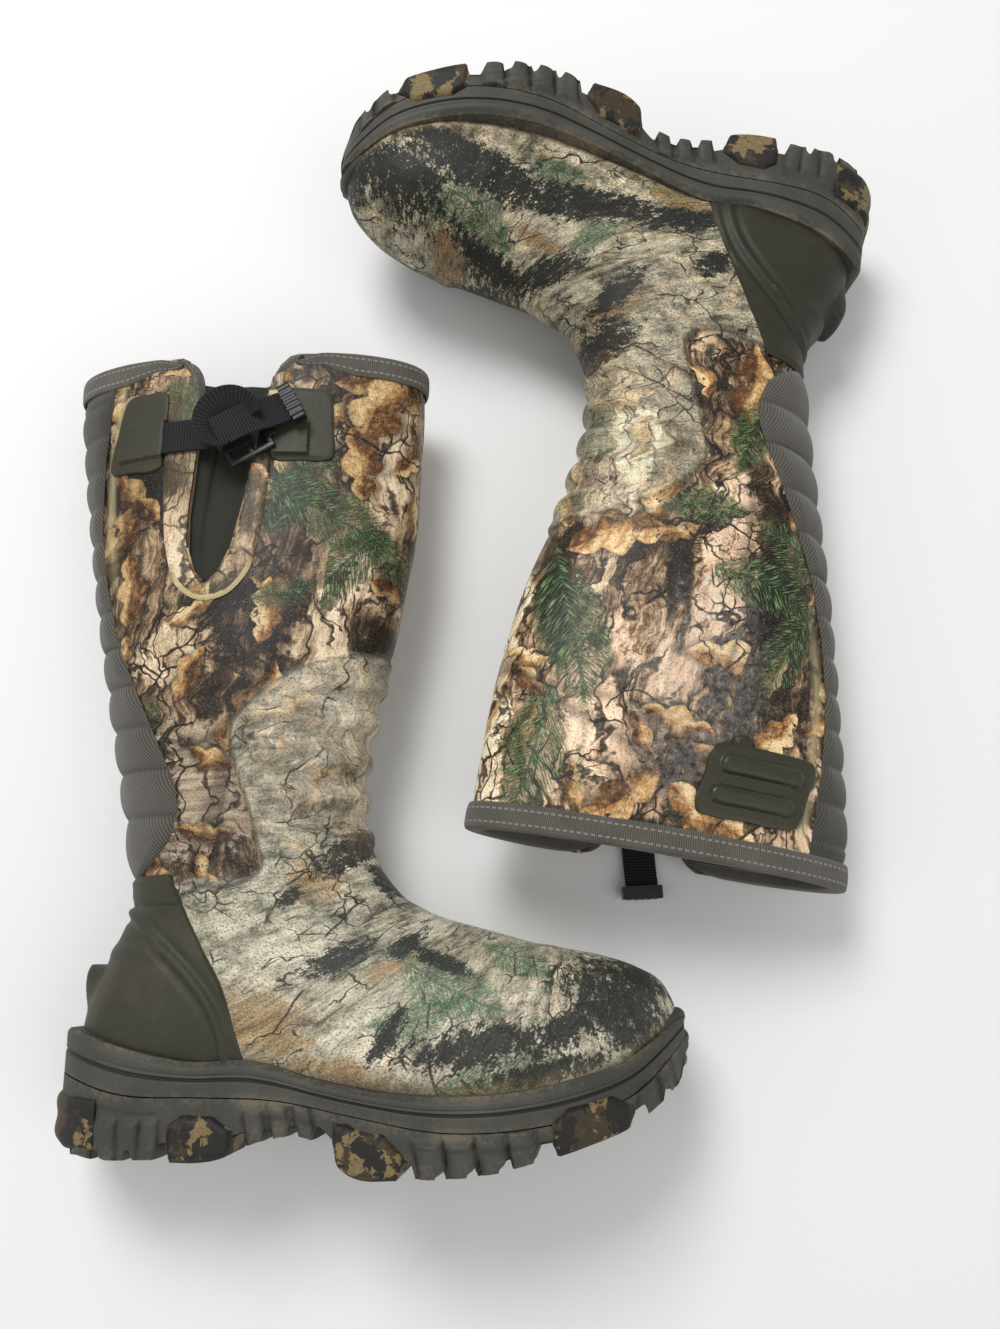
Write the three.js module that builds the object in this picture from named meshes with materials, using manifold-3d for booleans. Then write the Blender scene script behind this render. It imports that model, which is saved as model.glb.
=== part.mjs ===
// A pair of tall insulated rubber hunting boots, lying on their sides on the ground, head to tail.
//
// One boot is drawn in its own frame and used twice, the second time mirrored:
//   X  towards the toe, Y  up the shaft, Z  outwards, to the side with the calf gusset.
// The right boot lies with its gusset up. The left boot lies with its gusset down.
// All sizes are in millimetres.

import * as THREE from "three";
import { mergeVertices } from "three/addons/utils/BufferGeometryUtils.js";
import Module from "manifold-3d";

const wasm = await Module();
wasm.setup();

// ---------------------------------------------------------------- driving dimensions

const SOLE_LENGTH = 330; // heel to toe of the outsole
const BOOT_HEIGHT = 440; // ground to the top of the collar
const CALF_THICKNESS = 86; // the empty shaft, side to side, at the calf
const SOLE_WIDTH = 116; // across the ball of the foot

const SHELL_WALL = 2.2; // printed rubber
const FOAM_WALL = 4.7; // neoprene with its insulation
const LINING_WALL = 1.5;
const GAP = 0.3; // between pieces that are bonded or sewn together

const COUNTER_WALL = 2.7; // rubber over the heel
const PANEL_PROUD = 2.6; // how far the padded rear panel stands out of the shell
const SURROUND_WALL = 1.2; // printed piece round the gusset
const PATCH_WALL = 2.2; // moulded patches
const GUSSET_WALL = 2;
const GUSSET_TUCK = 7; // how far the gusset reaches behind the edge of the notch

const BINDING_WALL = 1.4;
const BINDING_DEPTH = 14; // down from the collar's edge

const LUG_HEIGHT = 8;
const BASE_PLATE = 5; // rubber between the lugs and the midsole
const CUP_WALL = 6; // the outsole's side wall round the midsole
const WELT_STEP = 3; // the foxing band is this much narrower than the outsole
const FOXING_FLOOR = 3;
const CAMO_LUG_PROUD = 1.5;

const BOARD_THICKNESS = 1.8;
const FOOTBED_THICKNESS = 5;
const SHANK = { start: 55, end: 145, width: 20, thickness: 1.4, steps: 6 };

const ANKLE = { x: 88, y: 105, radius: 95, split: 150, gap: 0.6 }; // the flex hinge and its round seam

const WEBBING = { width: 19, thickness: 1.5 };
const STRAP_HEIGHT = 388; // middle of the strap, above the ground
const BUCKLE = { x: 88, y: 384, length: 27, width: 27, thickness: 3.6, bar: 3.4, turn: 28 };
const END_STOP = { length: 8, width: 23, thickness: 6 };

const SEGMENTS = 14; // round each section of the boot
const ACROSS = 90; // half the depth of a cutter that goes right through a boot
const SIMPLIFY = 0.05; // corners nearer than this to a straight edge are left out

// ---------------------------------------------------------------- solids

/** A closed geometry as a solid that can be cut and joined. */
function solidOf(geometry) {
  const bare = geometry.clone();
  bare.deleteAttribute("normal");
  bare.deleteAttribute("uv");
  const merged = mergeVertices(bare, 1e-4);
  return new wasm.Manifold(
    new wasm.Mesh({
      numProp: 3,
      vertProperties: new Float32Array(merged.attributes.position.array),
      triVerts: new Uint32Array(merged.index.array),
    }),
  );
}

/** A solid as a geometry. */
function geometryOf(solid) {
  const mesh = solid.simplify(SIMPLIFY).getMesh();
  const geometry = new THREE.BufferGeometry();
  geometry.setAttribute(
    "position",
    new THREE.BufferAttribute(new Float32Array(mesh.vertProperties), 3),
  );
  geometry.setIndex(new THREE.BufferAttribute(new Uint32Array(mesh.triVerts), 1));
  geometry.computeVertexNormals();
  return geometry;
}

/** The largest body of a solid, without the crumbs that a cut can leave. */
function largest(solid) {
  return solid.decompose().reduce((a, b) => (a.volume() > b.volume() ? a : b));
}

/** A side-view outline, (x, y), as a prism from z = low to z = high. */
function prism(points, low = -ACROSS, high = ACROSS) {
  const shape = new THREE.Shape(points.map(([x, y]) => new THREE.Vector2(x, y)));
  const geometry = new THREE.ExtrudeGeometry(shape, { depth: high - low, bevelEnabled: false });
  return solidOf(geometry.translate(0, 0, low));
}

/** A plan outline, (x, z), as a prism from y = low to y = high. */
function planPrism(points, low, high) {
  const shape = new THREE.Shape(points.map(([x, z]) => new THREE.Vector2(x, z)));
  const geometry = new THREE.ExtrudeGeometry(shape, { depth: high - low, bevelEnabled: false });
  return solidOf(geometry.rotateX(Math.PI / 2).translate(0, high, 0));
}

/** A closed solid through a stack of rings, which have the same number of points. */
function loft(rings) {
  const count = rings[0].length;
  const points = rings.flat();
  const faces = [];
  for (let i = 0; i < rings.length - 1; i++)
    for (let j = 0; j < count; j++) {
      const a = i * count + j;
      const b = i * count + ((j + 1) % count);
      faces.push(a, b, b + count, a, b + count, a + count);
    }
  const cap = (ring, first, turned) => {
    const middle = new THREE.Vector3();
    ring.forEach((p) => middle.addScaledVector(p, 1 / count));
    points.push(middle);
    for (let j = 0; j < count; j++) {
      const pair = [first + j, first + ((j + 1) % count)];
      faces.push(points.length - 1, ...(turned ? pair.reverse() : pair));
    }
  };
  cap(rings[0], 0, true);
  cap(rings.at(-1), (rings.length - 1) * count, false);
  const geometry = new THREE.BufferGeometry().setFromPoints(points);
  return solidOf(geometry.setIndex(faces));
}

// ---------------------------------------------------------------- curves

// The outlines are drawn for a boot of this size, then stretched to the driving dimensions.
const DRAWN = { length: 330, height: 440, ankle: 200, calf: 86, width: 116 };

const stretchX = (x) => (x * SOLE_LENGTH) / DRAWN.length;

/** Heights above the ankle stretch with the boot's height, and the foot keeps its own. */
function stretchY(y) {
  if (y <= DRAWN.ankle) return y;
  const share = (y - DRAWN.ankle) / (DRAWN.height - DRAWN.ankle);
  return DRAWN.ankle + share * (BOOT_HEIGHT - DRAWN.ankle);
}

const drawn = (points) => points.map(([x, y]) => [stretchX(x), stretchY(y)]);

/** A smooth line through points, as that many straight steps. */
function smooth(points, steps, closed = false) {
  const curve = new THREE.CatmullRomCurve3(
    points.map(([x, y]) => new THREE.Vector3(x, y, 0)),
    closed,
    "centripetal",
  );
  const found = curve.getSpacedPoints(steps).map((p) => [p.x, p.y]);
  return closed ? found.slice(0, -1) : found;
}

/** The height of a line, given as (x, y) points with x rising, at x. */
function heightAt(line, x) {
  const end = line.findIndex(([px]) => px >= x);
  if (end === 0) return line[0][1];
  if (end < 0) return line.at(-1)[1];
  const [x0, y0] = line[end - 1];
  const [x1, y1] = line[end];
  return y0 + ((y1 - y0) * (x - x0)) / (x1 - x0);
}

const raised = (line, by) => line.map(([x, y]) => [x, y + by]);

/** The slab between two lines, from z = low to z = high. */
function slab(lower, upper, low = -ACROSS, high = ACROSS) {
  const above = prism([...lower, [lower.at(-1)[0], 300], [lower[0][0], 300]], low, high);
  return above.intersect(prism([...upper, [upper.at(-1)[0], -200], [upper[0][0], -200]]));
}

// Underside of the foot, inside the sole, from heel to toe.
const FOOT_LINE = smooth(
  drawn([[-20, 52], [10, 45], [40, 38], [80, 37], [120, 36], [160, 30], [205, 24], [245, 26],
    [275, 32], [300, 43], [318, 60], [345, 90]]),
  16,
);
// Top edge of the foxing band.
const WELT_LINE = smooth(
  drawn([[-20, 74], [9, 66], [45, 56], [75, 51], [104, 52], [142, 43], [175, 38], [205, 37],
    [236, 39], [267, 45], [294, 54], [314, 68], [345, 96]]),
  20,
);
// The ground side of the lugs.
const GROUND_LINE = smooth(
  drawn([[-20, 40], [-2, 24], [6, 10], [20, 6], [60, 5], [92, 6], [113, 14], [143, 14], [158, 2],
    [185, 0], [211, 1], [232, 4], [251, 9], [272, 15], [298, 25], [313, 36], [325, 48], [345, 66]]),
  24,
);
const GROOVE_LINE = raised(FOOT_LINE, -FOXING_FLOOR); // bottom of the foxing, top of the outsole
// Between the lugs. Where the sole is thin the lugs are shallower, to leave room for the shank.
const BASE_LINE = GROUND_LINE.map(([x, y]) => [
  x,
  Math.min(y + LUG_HEIGHT, heightAt(GROOVE_LINE, x) - BASE_PLATE - SHANK.thickness - 4 * GAP),
]);

/** Plan of the sole, drawn in by a margin. The side with the gusset is z > 0. */
function solePlan(margin) {
  const outer = [[-3, 0], [3, 23], [20, 37], [50, 43], [90, 42], [130, 44], [170, 52], [205, 57],
    [240, 56], [270, 48], [295, 34], [315, 14], [325, -8], [320, -28], [304, -43], [280, -53],
    [250, -59], [215, -58], [180, -50], [140, -42], [100, -40], [60, -42], [25, -38], [4, -24]];
  const centre = SOLE_LENGTH / 2;
  const spread = SOLE_WIDTH / DRAWN.width;
  const path = smooth(outer.map(([x, z]) => [stretchX(x), z * spread]), 32, true);
  return path.map(([x, z]) => [
    centre + (x - centre) * (1 - (2 * margin) / SOLE_LENGTH),
    z * (1 - (2 * margin) / SOLE_WIDTH),
  ]);
}

// ---------------------------------------------------------------- the shape of the boot

// Sections from the collar, round the heel, to the toe. Each has its front or top point, its back
// or bottom point, half its width, its shift outwards, and how square its front and back halves are.
const STATIONS = [
  { front: [182, 440], back: [-27, 440], half: 38, shift: 0, square: [2.1, 2.1] },
  { front: [181, 395], back: [-21, 395], half: 41, shift: 0, square: [2.1, 2.1] },
  { front: [178, 340], back: [-12, 340], half: 43, shift: 0, square: [2.1, 2.1] },
  { front: [170, 290], back: [-3, 290], half: 43, shift: 0, square: [2.1, 2.1] },
  { front: [158, 240], back: [8, 240], half: 42, shift: 0, square: [2.1, 2.1] },
  { front: [152, 200], back: [17, 200], half: 40, shift: 0, square: [2.1, 2.1] },
  { front: [153, 172], back: [25, 160], half: 39, shift: 0, square: [2.1, 2.2] },
  { front: [158, 154], back: [30, 128], half: 39, shift: 0, square: [2.1, 2.3] },
  { front: [166, 141], back: [20, 101], half: 39, shift: 0, square: [2.1, 2.4] },
  { front: [175, 132], back: [10, 76], half: 39, shift: 0, square: [2.1, 2.6] },
  { front: [186, 126], back: [11, 48], half: 39, shift: 0, square: [2.1, 2.8] },
  { front: [198, 121], back: [52, 38], half: 39, shift: 0, square: [2.1, 3] },
  { front: [211, 117], back: [108, 37], half: 39, shift: 1, square: [2.1, 3.2] },
  { front: [225, 113], back: [155, 31], half: 43, shift: 1, square: [2.1, 3.4] },
  { front: [241, 109], back: [200, 25], half: 48, shift: 0, square: [2.1, 3.4] },
  { front: [259, 106], back: [240, 26], half: 50, shift: -2, square: [2.2, 3.2] },
  { front: [279, 102], back: [272, 32], half: 45, shift: -5, square: [2.2, 3] },
  { front: [298, 96], back: [297, 43], half: 34, shift: -8, square: [2.2, 2.6] },
  { front: [311, 88], back: [311, 55], half: 20, shift: -10, square: [2.1, 2.2] },
  { front: [317, 78], back: [317, 66], half: 8, shift: -10, square: [2, 2] },
];
const SHAFT_STATIONS = 6; // the first ones are level, and belong to the shaft
const SMALLEST = 1.5; // half the size that a section keeps, however far it is drawn in

/** Half the width of a section. The shaft's follow the calf, and the foot's the sole. */
function halfWidth(station, index) {
  const spread = index < SHAFT_STATIONS ? CALF_THICKNESS / DRAWN.calf : SOLE_WIDTH / DRAWN.width;
  return station.half * spread;
}

/** One section drawn in by a margin, as a ring of points. */
function section(station, index, margin) {
  const [frontX, frontY] = drawn([station.front])[0];
  const [backX, backY] = drawn([station.back])[0];
  const half = new THREE.Vector2(frontX - backX, frontY - backY).multiplyScalar(0.5);
  const shrink = Math.max(SMALLEST, half.length() - margin) / half.length();
  const width = Math.max(SMALLEST, halfWidth(station, index) - margin);
  const points = [];
  for (let j = 0; j < SEGMENTS; j++) {
    const angle = (2 * Math.PI * j) / SEGMENTS;
    const power = 2 / station.square[Math.cos(angle) >= 0 ? 0 : 1];
    const along = Math.sign(Math.cos(angle)) * Math.abs(Math.cos(angle)) ** power * shrink;
    const side = Math.sign(Math.sin(angle)) * Math.abs(Math.sin(angle)) ** power;
    points.push(
      new THREE.Vector3(
        (frontX + backX) / 2 + half.x * along,
        (frontY + backY) / 2 + half.y * along,
        station.shift + side * width,
      ),
    );
  }
  return points;
}

/** The boot's outer shape drawn in by a margin, or out if it is negative. It runs on above the collar. */
function form(margin) {
  const rings = STATIONS.map((station, index) => section(station, index, margin));
  const last = rings.length - 1;
  const tip = new THREE.Vector3(-margin, 0, 0);
  rings[last].forEach((p) => p.add(tip));
  rings[last - 1].forEach((p) => p.addScaledVector(tip, 0.6));
  rings.unshift(rings[0].map((p) => p.clone().add(new THREE.Vector3(0, 30, 0))));
  return loft(rings);
}

const layer = (outside, inside) => form(outside).subtract(form(inside));

// ---------------------------------------------------------------- cutters

const collarCut = (top) => prism([[-100, -50], [500, -50], [500, top], [-100, top]]);

/** Everything above the round ankle seam of this radius. */
function aboveAnkle(radius) {
  const top = BOOT_HEIGHT + 100;
  const block = prism([[-100, ANKLE.split], [500, ANKLE.split], [500, top], [-100, top]]);
  const drum = new THREE.CylinderGeometry(radius, radius, 2 * ACROSS + 20, 32);
  drum.rotateX(Math.PI / 2).translate(stretchX(ANKLE.x), ANKLE.y, 0);
  return block.subtract(solidOf(drum));
}

const UPPER = aboveAnkle(ANKLE.radius + ANKLE.gap);
const LOWER_CUT = aboveAnkle(ANKLE.radius);
const shaftPart = (solid) => solid.intersect(UPPER).intersect(collarCut(BOOT_HEIGHT));
const footPart = (solid) => solid.subtract(LOWER_CUT);

/** Outline of the notch over the gusset, grown by a margin, up past the collar. */
function notchOutline(margin) {
  const top = BOOT_HEIGHT + 60;
  const left = drawn([[54, 440], [60, 395], [57, 345], [57, 320]]).map(([x, y]) => [x - margin, y]);
  const right = drawn([[80, 325], [87, 350], [91, 380], [98, 410], [105, 440]]).map(([x, y]) => [
    x + margin,
    y,
  ]);
  const foot = drawn([[68, 301]]).map(([x, y]) => [x, y - margin]);
  return [[left[0][0], top], ...smooth([...left, ...foot, ...right], 14), [right.at(-1)[0], top]];
}

const notch = (margin) => prism(notchOutline(margin), 0, ACROSS);

/** The back of the shaft, behind the padded panel's edge, with the edge moved forwards by a margin. */
function rearRegion(margin) {
  const edge = smooth(
    drawn([[-4, 450], [-5, 400], [-4, 345], [2, 300], [14, 255], [30, 218], [46, 186], [52, 150]]),
    10,
  ).map(([x, y]) => [x + margin, y]);
  return prism([[-150, BOOT_HEIGHT + 60], [-150, 100], [edge.at(-1)[0], 100], ...edge.reverse()]);
}

/** A moulded or sewn piece that follows the outer surface, from one height off it to another. */
function onSurface(outline, low, high, side = 1) {
  const cutter = side > 0 ? prism(outline, 0, ACROSS) : prism(outline, -ACROSS, 0);
  return largest(layer(-high, -low).intersect(cutter));
}

// ---------------------------------------------------------------- upper pieces

const INNER = SHELL_WALL + FOAM_WALL + LINING_WALL + 2 * GAP; // margin of the space inside the boot

function upperPieces() {
  const shell = layer(0, SHELL_WALL);
  const foam = layer(SHELL_WALL + GAP, SHELL_WALL + GAP + FOAM_WALL);
  const lining = layer(INNER - LINING_WALL, INNER);
  const shaftShell = shaftPart(shell).subtract(notch(0)).subtract(rearRegion(GAP));
  return {
    foot_shell: footPart(shell),
    foot_insulation: footPart(foam),
    foot_lining: footPart(lining),
    shaft_shell: largest(shaftShell),
    shaft_insulation: largest(shaftPart(foam).subtract(notch(GUSSET_TUCK + GAP))),
    shaft_lining: shaftPart(lining),
  };
}

const rearPanel = () =>
  largest(shaftPart(layer(-PANEL_PROUD, SHELL_WALL)).intersect(rearRegion(-GAP)));

function gusset() {
  const sheet = shaftPart(layer(SHELL_WALL + GAP, SHELL_WALL + GAP + GUSSET_WALL));
  return largest(sheet.intersect(notch(GUSSET_TUCK)));
}

function gussetSurround() {
  const outer = smooth(
    drawn([[39, 450], [39, 394], [41, 350], [45, 319], [52, 300], [66, 291], [80, 293], [92, 305],
      [98, 330], [101, 360], [103, 394], [110, 450]]),
    16,
  );
  const band = onSurface(outer, GAP, GAP + SURROUND_WALL).subtract(notch(0));
  return largest(band.intersect(collarCut(BOOT_HEIGHT - BINDING_DEPTH - GAP)));
}

/** A channel folded over the top edge of the shaft's walls, open at the notch. */
function collarBinding() {
  const top = BOOT_HEIGHT + GAP + BINDING_WALL;
  const low = BOOT_HEIGHT - BINDING_DEPTH;
  const outside = PANEL_PROUD + GAP; // it covers the padded panel too
  const block = layer(-outside - BINDING_WALL, INNER + GAP + BINDING_WALL);
  const ring = block.intersect(prism([[-100, low], [500, low], [500, top], [-100, top]]));
  const room = layer(-outside, INNER + GAP).intersect(collarCut(BOOT_HEIGHT + GAP));
  const slit = notch(0).subtract(form(INNER - GAP)); // the lining's side of the notch stays bound
  return largest(ring.subtract(room).subtract(slit));
}

function heelCounter() {
  const edge = drawn([[58, 144], [66, 129], [79, 106], [91, 85], [100, 65], [106, 40]]);
  const outline = [[-60, 30], [-60, 144], ...edge];
  const over = layer(-GAP - COUNTER_WALL, -GAP).intersect(prism(outline));
  const spur = prism(
    drawn([[16, 101], [4, 99], [-1, 93], [-2, 86], [3, 80], [16, 77]]),
    -15,
    15,
  ).subtract(form(-GAP));
  const below = slab(raised(WELT_LINE, -150), raised(WELT_LINE, GAP));
  return largest(over.add(spur).subtract(below));
}

// ---------------------------------------------------------------- patches and strap

const STRAP_LIFT = GAP + PATCH_WALL + GAP; // the strap lies on the patches

const rearPatch = () =>
  onSurface(drawn([[9, 372], [13, 415], [16, 418], [38, 418], [38, 371], [12, 369]]), GAP,
    GAP + PATCH_WALL);

const frontPatch = () =>
  onSurface(drawn([[104, 370], [108, 416], [131, 416], [135, 411], [139, 376], [135, 371]]), GAP,
    GAP + PATCH_WALL);

/** The grip patch on the inner side, with two bars that a thumb pulls on. */
function gripPatch() {
  const outline = drawn([[8, 379], [12, 411], [18, 416], [64, 418], [69, 412], [64, 384], [58, 379],
    [14, 376]]);
  const bars = [[[20, 402], [22, 409], [56, 410], [54, 403]], [[16, 386], [18, 393], [52, 394],
    [50, 387]]];
  let patch = onSurface(outline, GAP, GAP + PATCH_WALL, -1);
  for (const bar of bars)
    patch = patch.add(onSurface(drawn(bar), GAP + PATCH_WALL / 2, GAP + PATCH_WALL + 2.4, -1));
  return patch;
}

/** A level stretch of webbing that follows the surface from x = start to x = end. */
function webbing(start, end, height) {
  const half = WEBBING.width / 2;
  const low = stretchY(height) - half;
  const outline = [[start, low], [end, low], [end, low + 2 * half], [start, low + 2 * half]];
  return onSurface(outline, STRAP_LIFT, STRAP_LIFT + WEBBING.thickness);
}

const strap = () => webbing(stretchX(28), stretchX(BUCKLE.x) - 6, STRAP_HEIGHT);
const frontStrap = () => webbing(stretchX(BUCKLE.x) + 7, stretchX(118), STRAP_HEIGHT - 4);

const BUCKLE_X = stretchX(BUCKLE.x);
const BUCKLE_Y = stretchY(BUCKLE.y);

/** The buckle's underside lies on whatever is highest below it. */
function buckleSeat() {
  const outline = roundedBox(BUCKLE.length, BUCKLE.width, 3).map(([x, y]) => {
    const turn = THREE.MathUtils.degToRad(BUCKLE.turn);
    return [
      BUCKLE_X + x * Math.cos(turn) - y * Math.sin(turn),
      BUCKLE_Y + x * Math.sin(turn) + y * Math.cos(turn),
    ];
  });
  const under = strap().add(frontStrap()).intersect(prism(outline));
  return under.boundingBox().max[2] + GAP;
}

const BUCKLE_LOW = buckleSeat();

/** Turns a solid drawn round the buckle's centre, and sets it down on the strap. */
function placeAtBuckle(geometry, turn) {
  geometry.rotateZ(THREE.MathUtils.degToRad(turn));
  return geometry.translate(BUCKLE_X, BUCKLE_Y, BUCKLE_LOW);
}

/** A rectangle round the origin with rounded corners. */
function roundedBox(length, width, corner) {
  const points = [];
  for (const quarter of [0, 1, 2, 3])
    for (const step of [0, 1, 2]) {
      const angle = (quarter + step / 2) * (Math.PI / 2);
      const [sx, sy] = [[1, 1], [-1, 1], [-1, -1], [1, -1]][quarter];
      points.push([
        sx * (length / 2 - corner) + corner * Math.cos(angle),
        sy * (width / 2 - corner) + corner * Math.sin(angle),
      ]);
    }
  return points;
}

/** A ladder-lock: a frame with two slots for the webbing and a middle bar. */
function buckle() {
  const { length, width, bar, thickness } = BUCKLE;
  const slot = (length - 3 * bar) / 2;
  let frame = prism(roundedBox(length, width, 3), 0, thickness);
  for (const middle of [-(slot + bar) / 2, (slot + bar) / 2]) {
    const hole = roundedBox(slot, width - 2 * bar, 1).map(([x, y]) => [x + middle, y]);
    frame = frame.subtract(prism(hole, -1, thickness + 1));
  }
  return placeAtBuckle(geometryOf(frame), BUCKLE.turn);
}

/** A strip of webbing, seen edge on, that follows a line of (along, up) points. */
function ribbon(points, thickness, width) {
  const curve = new THREE.CatmullRomCurve3(points.map(([x, y]) => new THREE.Vector3(x, y, 0)));
  const steps = 2 * (points.length - 1);
  const edges = [[], []];
  for (let i = 0; i <= steps; i++) {
    const at = curve.getPoint(i / steps);
    const way = curve.getTangent(i / steps);
    const side = new THREE.Vector3(-way.y, way.x, 0).multiplyScalar(thickness / 2);
    edges[0].push(at.clone().sub(side));
    edges[1].unshift(at.clone().add(side));
  }
  const shape = new THREE.Shape(edges.flat().map((p) => new THREE.Vector2(p.x, p.y)));
  const options = { depth: width, bevelEnabled: false };
  return new THREE.ExtrudeGeometry(shape, options).rotateX(Math.PI / 2).translate(0, width / 2, 0);
}

// The right boot's tail is folded back over the buckle, and the left boot's is pulled straight up.
const TAIL_BASE = BUCKLE.thickness + GAP + WEBBING.thickness / 2;
const TAIL_REACH = BOOT_HEIGHT - BUCKLE_Y + 12; // as far as the left tail's end
const TAILS = {
  right: {
    turn: BUCKLE.turn,
    line: [[4, 0], [-7, 0.2], [-14.5, 3.5], [-13, 8.5], [-4, 9.5], [8, 7.5], [18, 3], [28, 0]],
  },
  left: {
    turn: 102,
    line: [
      [-12, 0],
      ...[0.1, 0.3, 0.5, 0.7].map((share) => [share * TAIL_REACH, 0]),
      [0.9 * TAIL_REACH, -1.5],
      [TAIL_REACH, -3],
    ],
  },
};

function strapTail(side) {
  const line = TAILS[side].line.map(([x, y]) => [x, y + TAIL_BASE]);
  return placeAtBuckle(ribbon(line, WEBBING.thickness, WEBBING.width), TAILS[side].turn);
}

/** The moulded stop that keeps the tail from slipping out of the buckle. */
function endStop(side) {
  const [x, y] = TAILS[side].line.at(-1);
  const { length, width, thickness } = END_STOP;
  const block = new THREE.BoxGeometry(length, width, thickness, 1, 1, 1);
  block.translate(x + GAP + length / 2, 0, y + TAIL_BASE);
  return placeAtBuckle(block, TAILS[side].turn);
}

// ---------------------------------------------------------------- sole pieces

// Lugs along the sole, from heel to toe, as [start, end]. The printed ones are pieces of their own.
const RUBBER_LUGS = [[14, 28], [33, 45], [50, 60], [107, 114], [120, 127], [133, 140], [192, 202],
  [207, 217], [222, 232], [238, 248], [302, 310], [314, 320]];
const PRINTED_LUGS = { lug_heel: [68, 98], lug_waist: [152, 185], lug_toe: [258, 294] };
const LUG_SLOPE = 1.6; // how much wider a lug is at its root, on each side

/** The four corners of a lug in side view, with its root that far above the base line. */
function lugCorners([from, to], above = 0) {
  const [start, end] = [stretchX(from), stretchX(to)];
  const root = (x) => [x, heightAt(BASE_LINE, x) + above];
  return [
    root(start - LUG_SLOPE),
    [start, heightAt(GROUND_LINE, start)],
    [end, heightAt(GROUND_LINE, end)],
    root(end + LUG_SLOPE),
  ];
}

/** The outsole's underside: the base line, with the rubber lugs standing out of it. */
function treadLine() {
  const inLug = (x) =>
    RUBBER_LUGS.some(
      ([from, to]) => x > stretchX(from) - LUG_SLOPE && x < stretchX(to) + LUG_SLOPE,
    );
  const corners = RUBBER_LUGS.flatMap((lug) => lugCorners(lug));
  return [...BASE_LINE.filter(([x]) => !inLug(x)), ...corners].sort((a, b) => a[0] - b[0]);
}

function outsole() {
  const block = slab(treadLine(), raised(GROOVE_LINE, -GAP));
  const pocket = slab(raised(BASE_LINE, BASE_PLATE), raised(GROOVE_LINE, 100)).intersect(
    planPrism(solePlan(CUP_WALL), -50, 200),
  );
  return largest(block.intersect(planPrism(solePlan(0), -50, 200)).subtract(pocket));
}

const belowBase = () => slab(raised(GROUND_LINE, -60), raised(treadLine(), -GAP));

function printedLug(name) {
  const block = prism(lugCorners(PRINTED_LUGS[name], BASE_PLATE)).intersect(belowBase());
  return largest(block.intersect(planPrism(solePlan(-CAMO_LUG_PROUD), -50, 100)));
}

/** The printed block that wraps the back of the heel. */
function heelBackLug() {
  const outline = drawn([[-7, 36], [-7, 18], [1, 10], [8, 6], [10, 14], [6, 34]]);
  const back = planPrism(solePlan(-CAMO_LUG_PROUD), -50, 100).subtract(
    planPrism(solePlan(-GAP), -60, 120),
  );
  const under = prism(outline).intersect(planPrism(solePlan(-CAMO_LUG_PROUD), -50, 100));
  return largest(prism(outline).intersect(back).add(under.intersect(belowBase())));
}

/** The shank, which lies in the top of the midsole. With a margin, the room for it, open above. */
function shankStrip(margin) {
  const top = [];
  for (let i = 0; i <= SHANK.steps; i++) {
    const x = stretchX(SHANK.start + ((SHANK.end - SHANK.start) * i) / SHANK.steps);
    top.push([x, heightAt(GROOVE_LINE, x) - 2 * GAP]);
  }
  top[0][0] -= margin;
  top.at(-1)[0] += margin;
  const half = SHANK.width / 2 + margin;
  return slab(raised(top, -SHANK.thickness - margin), raised(top, 10 * margin), -half, half);
}

function midsole() {
  const block = slab(raised(BASE_LINE, BASE_PLATE + GAP), raised(GROOVE_LINE, -GAP));
  const body = block.intersect(planPrism(solePlan(CUP_WALL + GAP), -50, 200));
  return largest(body.subtract(shankStrip(GAP)));
}

function foxing() {
  const block = slab(GROOVE_LINE, WELT_LINE);
  const cup = block.intersect(planPrism(solePlan(WELT_STEP), -50, 200));
  return largest(cup.subtract(form(-GAP)));
}

/** A flat piece inside the boot, from one height over the lining's floor to another. */
function innerSole(low, high) {
  const start = INNER + GAP;
  const sheet = slab(raised(FOOT_LINE, start + low), raised(FOOT_LINE, start + high));
  return largest(sheet.intersect(form(start)));
}

const insoleBoard = () => innerSole(0, BOARD_THICKNESS);
const footbed = () =>
  innerSole(BOARD_THICKNESS + GAP, BOARD_THICKNESS + GAP + FOOTBED_THICKNESS);

// ---------------------------------------------------------------- materials

const rubber = (color, roughness = 0.75) => new THREE.MeshStandardMaterial({ color, roughness });

const MATERIALS = {
  camoRubber: rubber(0x9c917b, 0.6),
  camoLugs: rubber(0x6e5a32),
  oliveRubber: rubber(0x3a3b2c),
  soleRubber: rubber(0x45463d),
  greyFabric: rubber(0x6b675d, 0.95),
  neoprene: rubber(0x2c2e26, 0.9),
  foam: rubber(0x8a8a80, 0.95),
  lining: rubber(0x4d4a40, 1),
  webbing: rubber(0x121214, 0.85),
  blackPlastic: rubber(0x0d0d0f, 0.4),
  steel: new THREE.MeshStandardMaterial({ color: 0x9a9c9f, roughness: 0.35, metalness: 1 }),
};

const LOOKS = {
  foot_shell: "camoRubber",
  shaft_shell: "camoRubber",
  gusset_surround: "camoRubber",
  foot_insulation: "foam",
  shaft_insulation: "foam",
  midsole: "foam",
  foot_lining: "lining",
  shaft_lining: "lining",
  insole_board: "lining",
  footbed: "lining",
  rear_panel: "greyFabric",
  collar_binding: "greyFabric",
  gusset: "neoprene",
  heel_counter: "oliveRubber",
  rear_patch: "oliveRubber",
  front_patch: "oliveRubber",
  grip_patch: "oliveRubber",
  outsole: "soleRubber",
  foxing: "soleRubber",
  lug_heel_back: "camoLugs",
  lug_heel: "camoLugs",
  lug_waist: "camoLugs",
  lug_toe: "camoLugs",
  shank: "steel",
  strap: "webbing",
  front_strap: "webbing",
  strap_tail: "webbing",
  buckle: "blackPlastic",
  end_stop: "blackPlastic",
};

// ---------------------------------------------------------------- the pair

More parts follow.
